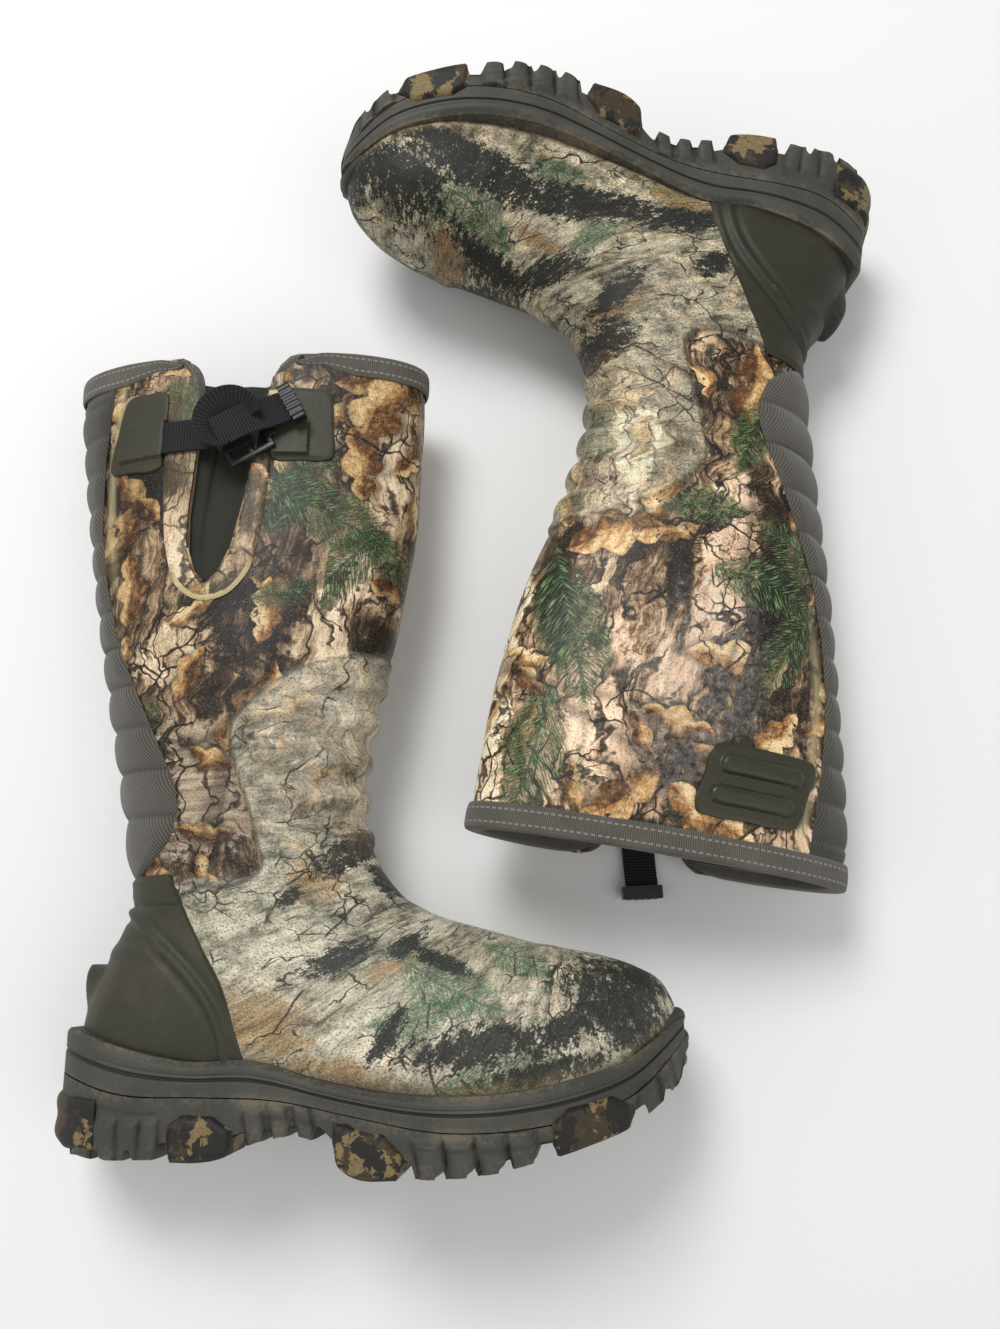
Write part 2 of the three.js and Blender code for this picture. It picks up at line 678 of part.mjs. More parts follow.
const SOLIDS = {
  ...upperPieces(),
  rear_panel: rearPanel(),
  gusset: gusset(),
  gusset_surround: gussetSurround(),
  collar_binding: collarBinding(),
  heel_counter: heelCounter(),
  rear_patch: rearPatch(),
  front_patch: frontPatch(),
  grip_patch: gripPatch(),
  strap: strap(),
  front_strap: frontStrap(),
  outsole: outsole(),
  midsole: midsole(),
  shank: shankStrip(0),
  foxing: foxing(),
  insole_board: insoleBoard(),
  footbed: footbed(),
  lug_heel_back: heelBackLug(),
};
for (const name of Object.keys(PRINTED_LUGS)) SOLIDS[name] = printedLug(name);

/** All the pieces of one boot, in the boot's own frame. */
function boot(side) {
  const shapes = Object.entries(SOLIDS).map(([name, solid]) => [name, geometryOf(solid)]);
  shapes.push(["buckle", buckle()], ["strap_tail", strapTail(side)], ["end_stop", endStop(side)]);
  const group = new THREE.Group();
  for (const [name, geometry] of shapes) {
    const mesh = new THREE.Mesh(geometry, MATERIALS[LOOKS[name]]);
    mesh.name = `${side}_${name}`;
    group.add(mesh);
  }
  return group;
}

const HEAD_TO_TAIL = 170.8; // how far the left boot is turned from the right one, in degrees
const LEFT_PLACE = [SOLE_LENGTH + 127, BOOT_HEIGHT + 136]; // from one boot's heel to the other's

/** All the corners of a group's meshes, and its centre of mass, in the group's frame. */
function cornersAndCentre(group) {
  const corners = [];
  const centre = new THREE.Vector3();
  let volume = 0;
  group.updateMatrixWorld(true);
  group.traverse((mesh) => {
    if (!mesh.isMesh) return;
    const own = mesh.geometry;
    const geometry = (own.index ? own.toNonIndexed() : own.clone()).applyMatrix4(mesh.matrixWorld);
    const points = new Array(geometry.attributes.position.count)
      .fill(0)
      .map((_, i) => new THREE.Vector3().fromBufferAttribute(geometry.attributes.position, i));
    corners.push(...points);
    for (let i = 0; i < points.length; i += 3) {
      const [a, b, c] = points.slice(i, i + 3);
      const part = a.dot(b.clone().cross(c)) / 6;
      volume += part;
      centre.addScaledVector(a.clone().add(b).add(c), part / 4);
    }
  });
  return { corners, centre: centre.divideScalar(volume) };
}

/** Turns a group so that it lies on the face of its hull that is under its centre of mass. */
function layDown(group) {
  const { corners, centre } = cornersAndCentre(group);
  const hull = wasm.Manifold.hull(corners.map((p) => [p.x, p.y, p.z])).getMesh();
  const corner = (i) => new THREE.Vector3().fromArray(hull.vertProperties, hull.triVerts[i] * 3);
  const down = new THREE.Vector3(0, 0, -1);
  const rest = new THREE.Vector3();
  for (let i = 0; i < hull.triVerts.length; i += 3) {
    const face = new THREE.Triangle(corner(i), corner(i + 1), corner(i + 2));
    const normal = face.getNormal(new THREE.Vector3());
    const plane = face.getPlane(new THREE.Plane());
    const under = plane.projectPoint(centre, new THREE.Vector3());
    if (normal.dot(down) > 0.9 && face.containsPoint(under)) rest.copy(normal);
  }
  const turned = new THREE.Group();
  turned.quaternion.setFromUnitVectors(rest, down);
  turned.add(group);
  return turned;
}

const right = layDown(boot("right"));

const mirrored = new THREE.Group();
mirrored.scale.z = -1;
mirrored.add(boot("left"));
const left = new THREE.Group();
left.add(layDown(mirrored));
left.rotation.z = THREE.MathUtils.degToRad(HEAD_TO_TAIL);
left.position.set(LEFT_PLACE[0], LEFT_PLACE[1], 0);

/** Lowers a boot onto the ground. */
function ground(group) {
  group.updateMatrixWorld(true);
  group.position.z -= new THREE.Box3().setFromObject(group, true).min.z;
}

const pair = new THREE.Group();
for (const group of [right, left]) {
  ground(group);
  pair.add(group);
}
pair.updateMatrixWorld(true);
const middle = new THREE.Box3().setFromObject(pair, true).getCenter(new THREE.Vector3());
pair.position.set(-middle.x, -middle.y, 0);
pair.updateMatrixWorld(true);

export default pair;
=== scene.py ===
# %% [markdown]
# # A pair of insulated hunting boots
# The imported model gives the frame: where every solid is and what it moves with. This lesson dresses that
# frame in smooth printed rubber, fabric, webbing and a cleated sole. Everything is in metres.

# %% Load the frame
import math
import bpy
import numpy as np
from mathutils import Matrix, Vector
from mathutils.bvhtree import BVHTree


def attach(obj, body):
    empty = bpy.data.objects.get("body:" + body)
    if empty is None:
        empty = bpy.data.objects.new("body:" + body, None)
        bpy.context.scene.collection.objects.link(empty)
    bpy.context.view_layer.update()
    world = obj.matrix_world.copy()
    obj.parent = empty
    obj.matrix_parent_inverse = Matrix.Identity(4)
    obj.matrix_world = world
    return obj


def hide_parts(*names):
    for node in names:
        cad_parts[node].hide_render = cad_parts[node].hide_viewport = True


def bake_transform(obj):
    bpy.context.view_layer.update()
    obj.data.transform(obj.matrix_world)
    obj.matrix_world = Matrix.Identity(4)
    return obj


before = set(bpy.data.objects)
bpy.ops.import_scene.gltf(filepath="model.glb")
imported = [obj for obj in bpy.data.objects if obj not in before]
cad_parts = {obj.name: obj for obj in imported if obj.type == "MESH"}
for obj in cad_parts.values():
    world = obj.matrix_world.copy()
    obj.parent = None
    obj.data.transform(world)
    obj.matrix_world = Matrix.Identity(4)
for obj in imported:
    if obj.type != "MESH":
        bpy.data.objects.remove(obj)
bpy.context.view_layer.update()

# %% [markdown]
# ## Each boot's own frame
# A boot is easiest to draw standing up: x towards the toe, y up the shaft and z to the outer side, in
# millimetres. One matrix per boot lays it on the ground. The left boot's matrix also mirrors it, so both
# are drawn by the same code.

# %% Where the boots lie
MM = 0.001
PLACES = {
    "right": (
        (0.995448, -0.000266, 0.095304),
        (-0.000266, 0.999985, 0.005561),
        (-0.095304, -0.005561, 0.995433),
        (-213.850482, -304.399520, 36.932982),
    ),
    "left": (
        (-0.982469, 0.159798, 0.096013),
        (-0.159210, -0.987148, 0.013800),
        (-0.096985, 0.001728, -0.995284),
        (243.149518, 271.600480, 37.948314),
    ),
}


def to_world(side, points):
    """Points of a boot, in millimetres, as places in the row's frame, in metres."""
    x, y, z, origin = (np.array(v) for v in PLACES[side])
    p = np.asarray(points, float)
    return (p[..., :1] * x + p[..., 1:2] * y + p[..., 2:3] * z + origin) * MM


print("right toe", to_world("right", [326, 60, -10]).round(3))

# %% [markdown]
# ## Curves through measured points
# A shoemaker works from outlines. Here each outline is a short list of points, and a cubic through them
# gives a smooth line. `spline` interpolates any number of columns at once.


# %% Splines
def spline(knots, values, at):
    """A smooth curve through values at rising knots, read at other places."""
    knots, values = np.asarray(knots, float), np.asarray(values, float)
    at = np.clip(at, knots[0], knots[-1])
    slope = np.gradient(values, knots, axis=0)
    i = np.clip(np.searchsorted(knots, at, side="right") - 1, 0, len(knots) - 2)
    width = knots[i + 1] - knots[i]
    t = (at - knots[i]) / width
    if values.ndim > 1:
        t, width = t[..., None], width[..., None]
    return (
        values[i] * (1 + 2 * t) * (1 - t) ** 2
        + values[i + 1] * t * t * (3 - 2 * t)
        + width * (slope[i] * t * (1 - t) ** 2 - slope[i + 1] * t * t * (1 - t))
    )


def run_of(line):
    """How far along a line each of its points is."""
    return np.concatenate([[0], np.cumsum(np.linalg.norm(np.diff(line, axis=0), axis=1))])


def unit(ways):
    return ways / np.linalg.norm(ways, axis=1, keepdims=True)


def path(points, count):
    """Evenly spaced points on a smooth line through a few points."""
    points = np.asarray(points, float)
    far = run_of(points)
    return spline(far, points, np.linspace(0, far[-1], count))


def ease(x, low, high):
    """0 below low, 1 above high, and smooth in between."""
    t = np.clip((np.asarray(x, float) - low) / (high - low), 0, 1)
    return t * t * (3 - 2 * t)


def bump(x, centre, half):
    """A smooth hump, 1 at its centre and 0 beyond its half width."""
    return 1 - ease(np.abs(np.asarray(x, float) - centre), 0, half)


# %% [markdown]
# ## The last
# Boots are built over a last, a solid foot and leg. These are its sections, from the collar, round the
# heel, to the toe: front point, back point, half width, shift to the outer side, and how square the front
# and back halves of the section are. A section is a superellipse, which goes from round to nearly square.

# %% Sections of the boot
STATIONS = np.array([
    [182, 440, -27, 440, 38, 0, 2.1, 2.1],
    [181, 395, -21, 395, 41, 0, 2.1, 2.1],
    [178, 340, -12, 340, 43, 0, 2.1, 2.1],
    [170, 290, -3, 290, 43, 0, 2.1, 2.1],
    [158, 240, 8, 240, 42, 0, 2.1, 2.1],
    [152, 200, 17, 200, 40, 0, 2.1, 2.1],
    [153, 172, 25, 160, 39, 0, 2.1, 2.2],
    [158, 154, 30, 128, 39, 0, 2.1, 2.3],
    [166, 141, 20, 101, 39, 0, 2.1, 2.4],
    [175, 132, 10, 76, 39, 0, 2.1, 2.6],
    [186, 126, 11, 48, 39, 0, 2.1, 2.8],
    [198, 121, 52, 38, 39, 0, 2.1, 3.0],
    [211, 117, 108, 37, 39, 1, 2.1, 3.2],
    [225, 113, 155, 31, 43, 1, 2.1, 3.4],
    [241, 109, 200, 25, 48, 0, 2.1, 3.4],
    [259, 106, 240, 26, 50, -2, 2.2, 3.2],
    [279, 102, 272, 32, 45, -5, 2.2, 3.0],
    [298, 96, 297, 43, 34, -8, 2.2, 2.6],
    [311, 88, 311, 55, 20, -10, 2.1, 2.2],
    [317, 78, 317, 66, 8, -10, 2.0, 2.0],
])
fronts, backs = STATIONS[:, 0:2], STATIONS[:, 2:4]
steps = np.linalg.norm(np.diff(fronts, axis=0), axis=1) + np.linalg.norm(np.diff(backs, axis=0), axis=1)
ALONG = np.concatenate([[0], np.cumsum(steps / 2 + 1)])


def sections(count, around, margin=0.0, dense=720):
    """Rings of the boot's surface, (count, around + 1, 3), that start and end at the back, evenly spaced."""
    places = np.linspace(0, ALONG[-1], count)
    found = np.zeros((count, around + 1, 3))
    angle = np.linspace(math.pi, 3 * math.pi, dense + 1)
    c, s = np.cos(angle), np.sin(angle)
    for i, row in enumerate(spline(ALONG, STATIONS, places)):
        front, back, half, shift, square_f, square_b = row[0:2], row[2:4], *row[4:]
        tip = max(0.0, (places[i] - ALONG[-3]) / (ALONG[-1] - ALONG[-3]))
        axis = (front - back) / 2
        length = np.linalg.norm(axis)
        grow = max(1.0, length - margin) / length
        power = 2 / np.where(c >= 0, square_f, square_b)
        along = np.sign(c) * np.abs(c) ** power * grow
        side = np.sign(s) * np.abs(s) ** power * max(1.0, half - margin)
        ring = np.stack([
            (front[0] + back[0]) / 2 + axis[0] * along - margin * tip,
            (front[1] + back[1]) / 2 + axis[1] * along,
            shift + side,
        ], axis=1)
        far = run_of(ring)
        want = np.linspace(0, far[-1], around + 1)
        found[i] = np.stack([np.interp(want, far, ring[:, k]) for k in range(3)], axis=1)
    return found


print("girth at the collar, mm", np.linalg.norm(np.diff(sections(2, 90)[0], axis=0), axis=1).sum().round())

# %% [markdown]
# ## Rolling a grid into shape
# Most pieces of a boot are flat stuff that was cut and wrapped round the last. So a piece starts as a grid
# primitive, its corners are moved to where the wrapped piece has them, and the seam is merged. A Solidify
# modifier then gives the stuff its thickness, and a Bevel rounds its cut edges.


# %% Helpers that make pieces
SPINE = np.array([[80, 460, 0], [84, 200, 0], [98, 115, 0], [150, 80, 0], [230, 64, -2], [290, 70, -8.0]])


def only(obj):
    """Selects one object and makes it active."""
    if bpy.context.object and bpy.context.object.mode != "OBJECT":
        bpy.ops.object.mode_set(mode="OBJECT")
    bpy.ops.object.select_all(action="DESELECT")
    obj.select_set(True)
    bpy.context.view_layer.objects.active = obj


def edit(obj, *operators):
    """Runs edit-mode operators, each given as (operator, settings), on all of one object."""
    only(obj)
    bpy.ops.object.mode_set(mode="EDIT")
    bpy.ops.mesh.select_all(action="SELECT")
    for operator, settings in operators:
        operator(**settings)
    bpy.ops.object.mode_set(mode="OBJECT")


def finish_with(obj, kind, **settings):
    """Adds a modifier and applies it."""
    only(obj)
    modifier = obj.modifiers.new(kind, kind)
    for key, value in settings.items():
        setattr(modifier, key, value)
    bpy.ops.object.modifier_apply(modifier=modifier.name)


def outward(points):
    """For points of a boot, the way out from the middle of the leg or foot."""
    p = np.asarray(points, float).reshape(-1, 3)
    best = np.full(len(p), 1e9)
    way = np.zeros_like(p)
    for a, b in zip(SPINE, SPINE[1:]):
        t = np.clip((p - a) @ (b - a) / ((b - a) @ (b - a)), 0, 1)
        off = p - (a + t[:, None] * (b - a))
        far = np.linalg.norm(off, axis=1)
        way[far < best] = off[far < best]
        best = np.minimum(best, far)
    return way


def round_edges(obj, width):
    """Bevels the sharp edges of a thin wall, by a width in millimetres."""
    finish_with(obj, "BEVEL", width=width * MM, segments=2, limit_method="ANGLE", angle_limit=math.radians(50))


def smooth_by(obj, degrees):
    only(obj)
    bpy.ops.object.shade_smooth_by_angle(angle=math.radians(degrees))


def capped(rings):
    """Closed rings of points, with one more at each end that is drawn in to the ring's middle."""
    first, last = rings[0, :-1].mean(axis=0), rings[-1, :-1].mean(axis=0)
    return np.concatenate([np.repeat(first[None, None], rings.shape[1], 1), rings,
                           np.repeat(last[None, None], rings.shape[1], 1)])


def sheet(name, side, points, uv=None, closed=(False, False), wall=0.0, edge=0.0, solid=False, smooth=50):
    """A piece from a grid of points, (rows, columns, 3), of one boot. wall is its thickness, inwards."""
    rows, columns = points.shape[:2]
    bpy.ops.object.select_all(action="DESELECT")
    bpy.ops.mesh.primitive_grid_add(x_subdivisions=columns - 1, y_subdivisions=rows - 1, size=2)
    obj = bpy.context.object
    obj.name = obj.data.name = name
    mesh = obj.data
    flat = np.empty(len(mesh.vertices) * 3)
    mesh.vertices.foreach_get("co", flat)
    flat = flat.reshape(-1, 3)
    column = np.rint((flat[:, 0] + 1) / 2 * (columns - 1)).astype(int)
    row = np.rint((flat[:, 1] + 1) / 2 * (rows - 1)).astype(int)
    local = points[row, column]
    mesh.vertices.foreach_set("co", to_world(side, local).ravel())
    index = np.empty(len(mesh.loops), int)
    mesh.loops.foreach_get("vertex_index", index)
    if uv is None:
        uv = points[..., :2] * MM
    mesh.uv_layers[0].name = "print"
    mesh.uv_layers[0].data.foreach_set("uv", uv[row, column][index].astype(np.float32).ravel())
    place = mesh.uv_layers.new(name="place")
    place.data.foreach_set("uv", (local[:, :2] * MM)[index].astype(np.float32).ravel())
    mesh.update()
    if any(closed):
        edit(obj, (bpy.ops.mesh.remove_doubles, {"threshold": 2e-6}))
    if solid:
        turned = signed_volume(obj) < 0
    else:
        co, normal = corners(obj), normals(obj)
        back = np.linalg.inv(np.array([PLACES[side][k] for k in range(3)]).T)
        way = outward((co / MM - np.array(PLACES[side][3])) @ back.T)
        world = way @ np.array([PLACES[side][k] for k in range(3)])
        turned = (normal * world).sum() < 0
    if turned:
        edit(obj, (bpy.ops.mesh.flip_normals, {}))
    if wall:
        finish_with(obj, "SOLIDIFY", thickness=wall * MM, offset=-1, use_even_offset=True)
    if edge:
        round_edges(obj, edge)
    smooth_by(obj, smooth)
    return obj


def corners(obj):
    found = np.empty(len(obj.data.vertices) * 3)
    obj.data.vertices.foreach_get("co", found)
    return found.reshape(-1, 3)


def normals(obj):
    found = np.empty(len(obj.data.vertices) * 3)
    obj.data.vertex_normals.foreach_get("vector", found)
    return found.reshape(-1, 3)


def signed_volume(obj):
    obj.data.calc_loop_triangles()
    index = np.empty(len(obj.data.loop_triangles) * 3, int)
    obj.data.loop_triangles.foreach_get("vertices", index)
    a, b, c = corners(obj)[index].reshape(-1, 3, 3).transpose(1, 0, 2)
    return (a * np.cross(b, c)).sum() / 6


def cutter(side, outline, low, high):
    """A prism over a side-view outline, from z = low to z = high, for Boolean cuts."""
    bpy.ops.object.select_all(action="DESELECT")
    bpy.ops.mesh.primitive_circle_add(vertices=len(outline), radius=1, fill_type="NGON")
    obj = bpy.context.object
    edit(obj, (bpy.ops.mesh.extrude_region_move, {"TRANSFORM_OT_translate": {"value": (0, 0, 1)}}))
    co = corners(obj)
    turn = np.rint(np.arctan2(co[:, 0], co[:, 1]) / (2 * math.pi) * len(outline)).astype(int) % len(outline)
    points = np.column_stack([np.asarray(outline, float)[turn], np.where(co[:, 2] > 0.5, high, low)])
    obj.data.vertices.foreach_set("co", to_world(side, points).ravel())
    obj.data.update()
    edit(obj, (bpy.ops.mesh.normals_make_consistent, {"inside": False}))
    return obj


def cut(obj, tool, operation="DIFFERENCE"):
    """Cuts a piece with a tool, and throws the tool away."""
    finish_with(obj, "BOOLEAN", object=tool, operation=operation, solver="EXACT")
    bpy.data.objects.remove(tool, do_unlink=True)


def join(first, *others):
    """Several objects as one piece."""
    only(first)
    for other in others:
        other.select_set(True)
    bpy.ops.object.join()
    return first


print("helpers ready")

# %% [markdown]
# ## Reading the surface
# A strap or a patch lies on the boot, so it needs the boot's height under each of its points. A ray cast at
# the bare last finds it, with the way out there.


# %% Rays on the last
base_rings = sections(240, 180)
base_faces = [
    (i * 181 + j, i * 181 + j + 1, (i + 1) * 181 + j + 1, (i + 1) * 181 + j)
    for i in range(239) for j in range(180)
]
LAST = BVHTree.FromPolygons([tuple(p) for p in base_rings.reshape(-1, 3)], base_faces)


def hit(origin, way):
    """Where a ray meets the last, with its outward normal there."""
    place, normal, _, _ = LAST.ray_cast(Vector(origin), Vector(way).normalized())
    if place is None:
        place, normal, _, _ = LAST.find_nearest(Vector(origin))
    if normal.dot(Vector(way)) > 0:
        normal = -normal
    return np.array(place), np.array(normal)


def on_side(x, y, lift, outer=True):
    """Points at (x, y) on the outer or inner side of the boot, lifted off it."""
    x, y = np.broadcast_arrays(np.asarray(x, float), np.asarray(y, float))
    lift = np.broadcast_to(lift, x.shape)
    found = np.zeros(x.shape + (3,))
    sign = 1 if outer else -1
    for i in np.ndindex(x.shape):
        place, normal = hit((x[i], y[i], 120 * sign), (0, 0, -sign))
        found[i] = place + normal * lift[i]
    return found


def round_back(y, angle, lift):
    """Points at height y, at an angle round the leg from the back (0) outwards (+), lifted off the boot."""
    y, angle = np.broadcast_arrays(np.asarray(y, float), np.asarray(angle, float))
    lift = np.broadcast_to(lift, y.shape)
    found = np.zeros(y.shape + (3,))
    for i in np.ndindex(y.shape):
        middle = np.array([np.interp(y[i], [40, 120, 200, 440], [75, 85, 84, 78]), y[i], 0])
        way = np.array([-math.cos(angle[i]), 0, math.sin(angle[i])])
        place, normal = hit(middle + 180 * way, -way)
        found[i] = place + normal * lift[i]
    return found


def back_rows(heights, edges, columns, lift):
    """Rows round the back of the boot, each reaching forwards to x = edge on both sides."""
    trial = np.linspace(0, 2.6, 60)
    rows = []
    for y, edge in zip(heights, edges):
        x = round_back(np.full(60, y), trial, 0.0)[:, 0]
        rising = np.maximum.accumulate(x + np.arange(60) * 1e-6)
        end = np.interp(edge, rising, trial)
        rows.append(np.linspace(-end, end, columns))
    angles = np.array(rows)
    return round_back(np.repeat(np.asarray(heights, float)[:, None], columns, 1), angles, lift), angles


print("half width at the calf, mm", on_side(84, 330, 0)[2].round(1))

# %% [markdown]
# ## Shader maths in plain Python
# A material is a graph of nodes. Wrapping a socket in a small class lets `1 - mask * 0.5` build its Math
# nodes. `Look` makes the material: constants are set on the shader itself, and anything that varies over
# the surface is linked to colour, roughness or the bump.


# %% Node helpers
class Value:
    """A socket whose arithmetic adds Math nodes."""

    def __init__(self, look, socket):
        self.look, self.socket = look, socket

    def math(self, operation, *others):
        return self.look.node("Math", {"operation": operation}, self, *others)

    def __add__(self, other): return self.math("ADD", other)
    def __sub__(self, other): return self.math("SUBTRACT", other)
    def __mul__(self, other): return self.math("MULTIPLY", other)
    def __truediv__(self, other): return self.math("DIVIDE", other)
    def __radd__(self, other): return self.math("ADD", other)
    def __rmul__(self, other): return self.math("MULTIPLY", other)
    def __rsub__(self, other): return self.look.node("Math", {"operation": "SUBTRACT"}, other, self)
    def __abs__(self): return self.math("ABSOLUTE")
    def __gt__(self, other): return self.math("GREATER_THAN", other)
    def __lt__(self, other): return self.math("LESS_THAN", other)
    def sin(self): return self.math("SINE")
    def cos(self): return self.math("COSINE")
    def fraction(self): return self.math("FRACT")
    def least(self, other): return self.math("MINIMUM", other)
    def most(self, other): return self.math("MAXIMUM", other)
    def power(self, other): return self.math("POWER", other)

    def step(self, low, high, start=0.0, end=1.0):
        """Smoothly from start at low to end at high."""
        settings = {"interpolation_type": "SMOOTHSTEP"}
        if low > high:
            low, high, start, end = high, low, end, start
        return self.look.node("MapRange", settings, self, low, high, start, end)


class Look:
    """One material: a Principled shader with constants, and nodes for what varies."""

    def __init__(self, name, **constants):
        self.material = bpy.data.materials.new(name)
        self.material.use_nodes = True
        self.tree = self.material.node_tree
        self.shader = self.tree.nodes["Principled BSDF"]
        for key, value in constants.items():
            self.shader.inputs[key.replace("_", " ").title().replace("Ior", "IOR")].default_value = value

    def node(self, kind, settings=None, *values, out=0, **named):
        """Adds a node, sets it up, feeds its sockets, and returns one of its outputs."""
        made = self.tree.nodes.new("ShaderNode" + kind)
        for key, value in (settings or {}).items():
            if key == "stops":
                ramp = made.color_ramp
                while len(ramp.elements) < len(value):
                    ramp.elements.new(0.5)
                for element, (place, colour) in zip(ramp.elements, value):
                    element.position = place
                    element.color = (*colour, 1)
            else:
                setattr(made, key, value)
        pairs = [(made.inputs[i], v) for i, v in enumerate(values)]
        pairs += [(made.inputs[k.replace("_", " ").title()], v) for k, v in named.items()]
        for socket, value in pairs:
            if isinstance(value, Value):
                self.tree.links.new(value.socket, socket)
            elif value is not None:
                socket.default_value = value
        return Value(self, made.outputs[out])

    def split(self, vector):
        """The x, y and z of a vector."""
        made = self.tree.nodes.new("ShaderNodeSeparateXYZ")
        self.tree.links.new(vector.socket, made.inputs[0])
        return [Value(self, o) for o in made.outputs]

    def vector(self, x=0.0, y=0.0, z=0.0):
        return self.node("CombineXYZ", None, x, y, z)

    def uv(self, name="print"):
        return self.node("UVMap", {"uv_map": name})

    def here(self):
        return self.node("TexCoord", None, out=3)

    def painted(self, name):
        """A value that `give` painted on the mesh."""
        return self.node("Attribute", {"attribute_name": name}, out=2)

    def borders(self, *where, **settings):
        """How far it is to the border of a cell: thin dark lines, once stepped."""
        return self.cells(*where, feature="DISTANCE_TO_EDGE", **settings)

    def noise(self, vector, scale, detail=3.0, rough=0.55, distortion=0.0):
        return self.node("TexNoise", {"noise_dimensions": "3D"}, vector=vector, scale=scale, detail=detail,
                         roughness=rough, distortion=distortion)

    def cells(self, vector, feature="F1", out=0, scale=1.0, randomness=1.0, dimensions="2D"):
        return self.node("TexVoronoi", {"feature": feature, "voronoi_dimensions": dimensions}, out=out,
                         vector=vector, scale=scale, randomness=randomness)

    def mix(self, factor, a, b, way="MIX"):
        """Colour a where factor is 0 and b where it is 1, or another way of blending them."""
        made = self.tree.nodes.new("ShaderNodeMix")
        made.data_type = "RGBA"
        made.blend_type, made.clamp_result = way, way != "MIX"
        for socket, value in ((made.inputs[0], factor), (made.inputs[6], a), (made.inputs[7], b)):
            if isinstance(value, Value):
                self.tree.links.new(value.socket, socket)
            else:
                socket.default_value = value if isinstance(value, float) else (*value, 1)
        return Value(self, made.outputs[2])

    def deepen(self, colour, power, gain):
        """More contrast: the darks of a colour go down and its lights go up."""
        return self.mix(1.0, self.node("Gamma", None, colour, power), (gain,) * 3, "MULTIPLY")

    def ramp(self, factor, *stops):
        return self.node("ValToRGB", {"stops": stops}, factor)

    def finish(self, colour=None, roughness=None, height=None, bump=0.5, metallic=None, coat=None):
        """Links what varies to the shader. height is in millimetres."""
        for name, value in (("Base Color", colour), ("Roughness", roughness), ("Metallic", metallic),
                            ("Coat Weight", coat)):
            if isinstance(value, Value):
                self.tree.links.new(value.socket, self.shader.inputs[name])
            elif value is not None:
                value = (*value, 1) if isinstance(value, tuple) else value
                self.shader.inputs[name].default_value = value
        if height is not None:
            made = self.tree.nodes.new("ShaderNodeBump")
            made.inputs["Strength"].default_value = bump
            made.inputs["Distance"].default_value = MM
            self.tree.links.new(height.socket, made.inputs["Height"])
            self.tree.links.new(made.outputs[0], self.shader.inputs["Normal"])
        return self.material


def paint(obj, material):
    obj.data.materials.clear()
    obj.data.materials.append(material)


print("shader helpers ready")

# %% [markdown]
# ## The printed forest
# The rubber carries a picture of a forest floor: weathered boards and bark, oak leaves, dark twigs and pine
# boughs. A scan would be the short way. Here it is drawn by maths, in layers, like a printer's separations:
# bark below, then leaves, twigs and needles on top. Scattered motifs use a cell texture, which gives each
# cell its own centre and its own chance numbers.

# %% Motifs of the print
TAU = 2 * math.pi


class Forest(Look):
    """The layers of the print, over a vector in metres."""

    def scatter(self, vector, per_metre, shift=0.0):
        """Local coordinates in each cell, turned by chance, and two chance numbers."""
        x, y, _ = self.split(vector)
        grid = self.vector(x * per_metre + shift, y * per_metre + shift * 1.7)
        centre = self.cells(grid, out=2)
        chance = self.split(self.cells(grid, out=1))
        gx, gy, _ = self.split(grid)
        cx, cy, _ = self.split(centre)
        angle = chance[0] * TAU
        dx, dy = gx - cx, gy - cy
        c, s = angle.cos(), angle.sin()
        return dx * c + dy * s, dy * c - dx * s, chance[1], chance[2]

    def placed(self, vector, x0, y0, angle, size):
        """Local coordinates round one chosen point, turned and scaled."""
        x, y, _ = self.split(vector)
        dx, dy = (x - x0) / size, (y - y0) / size
        c, s = math.cos(angle), math.sin(angle)
        return dx * c + dy * s, dy * c - dx * s

    def leaf(self, x, y, ragged, lobes=4.2, width=0.38):
        """(mask, shadow, shade) of an oak leaf that reaches from x = -1 to x = 1."""
        y = y + (x * 2.1 + ragged).sin() * 0.07
        lobe = abs((x * lobes + ragged).sin()) * 0.5 + 0.55
        half = (1 - x * x).most(0.0) * width * lobe
        inside = half - abs(y)
        rib = abs(y).step(0.010, 0.045)
        vein = abs(((x - abs(y) * 0.9) * 3.4).fraction() - 0.5).step(0.0, 0.09)
        rim = inside.step(0.0, 0.08)
        shade = (rib * 0.16 + vein * 0.12 + rim * 0.14
                 + (y * 5.0 + (x * 5.0 + ragged).sin() * 0.5 + 0.55).most(0.0).least(1.0) * 0.62)
        return inside.step(0.0, 0.03), inside.step(-0.22, 0.03), shade

    def bough(self, x, y, jitter, fineness=44.0):
        """(mask, shadow, shade) of a pine bough along x, from -1 to 1: rows of strokes either side of a stem."""
        y = y + (x * 1.7 + jitter * 5.0).sin() * 0.10
        s = abs(y)
        across, along = x * 0.66 - s * 0.75, x * 0.75 + s * 0.66
        stroke = self.noise(self.vector(across * fineness + jitter * 9.0, along * 4.5, (y > 0.0) * 3.0),
                            1.0, 2.0, 0.6)
        reach = (1 - x * x).most(0.0) * 0.40 + stroke * 0.35 - 0.12
        body = (reach - s).step(0.0, 0.16)
        mask = (stroke.step(0.46, 0.53) * body).most(s.step(0.03, 0.012) * abs(x).step(0.95, 0.85) * 0.8)
        return mask, body * 0.62, stroke.step(0.44, 0.72)


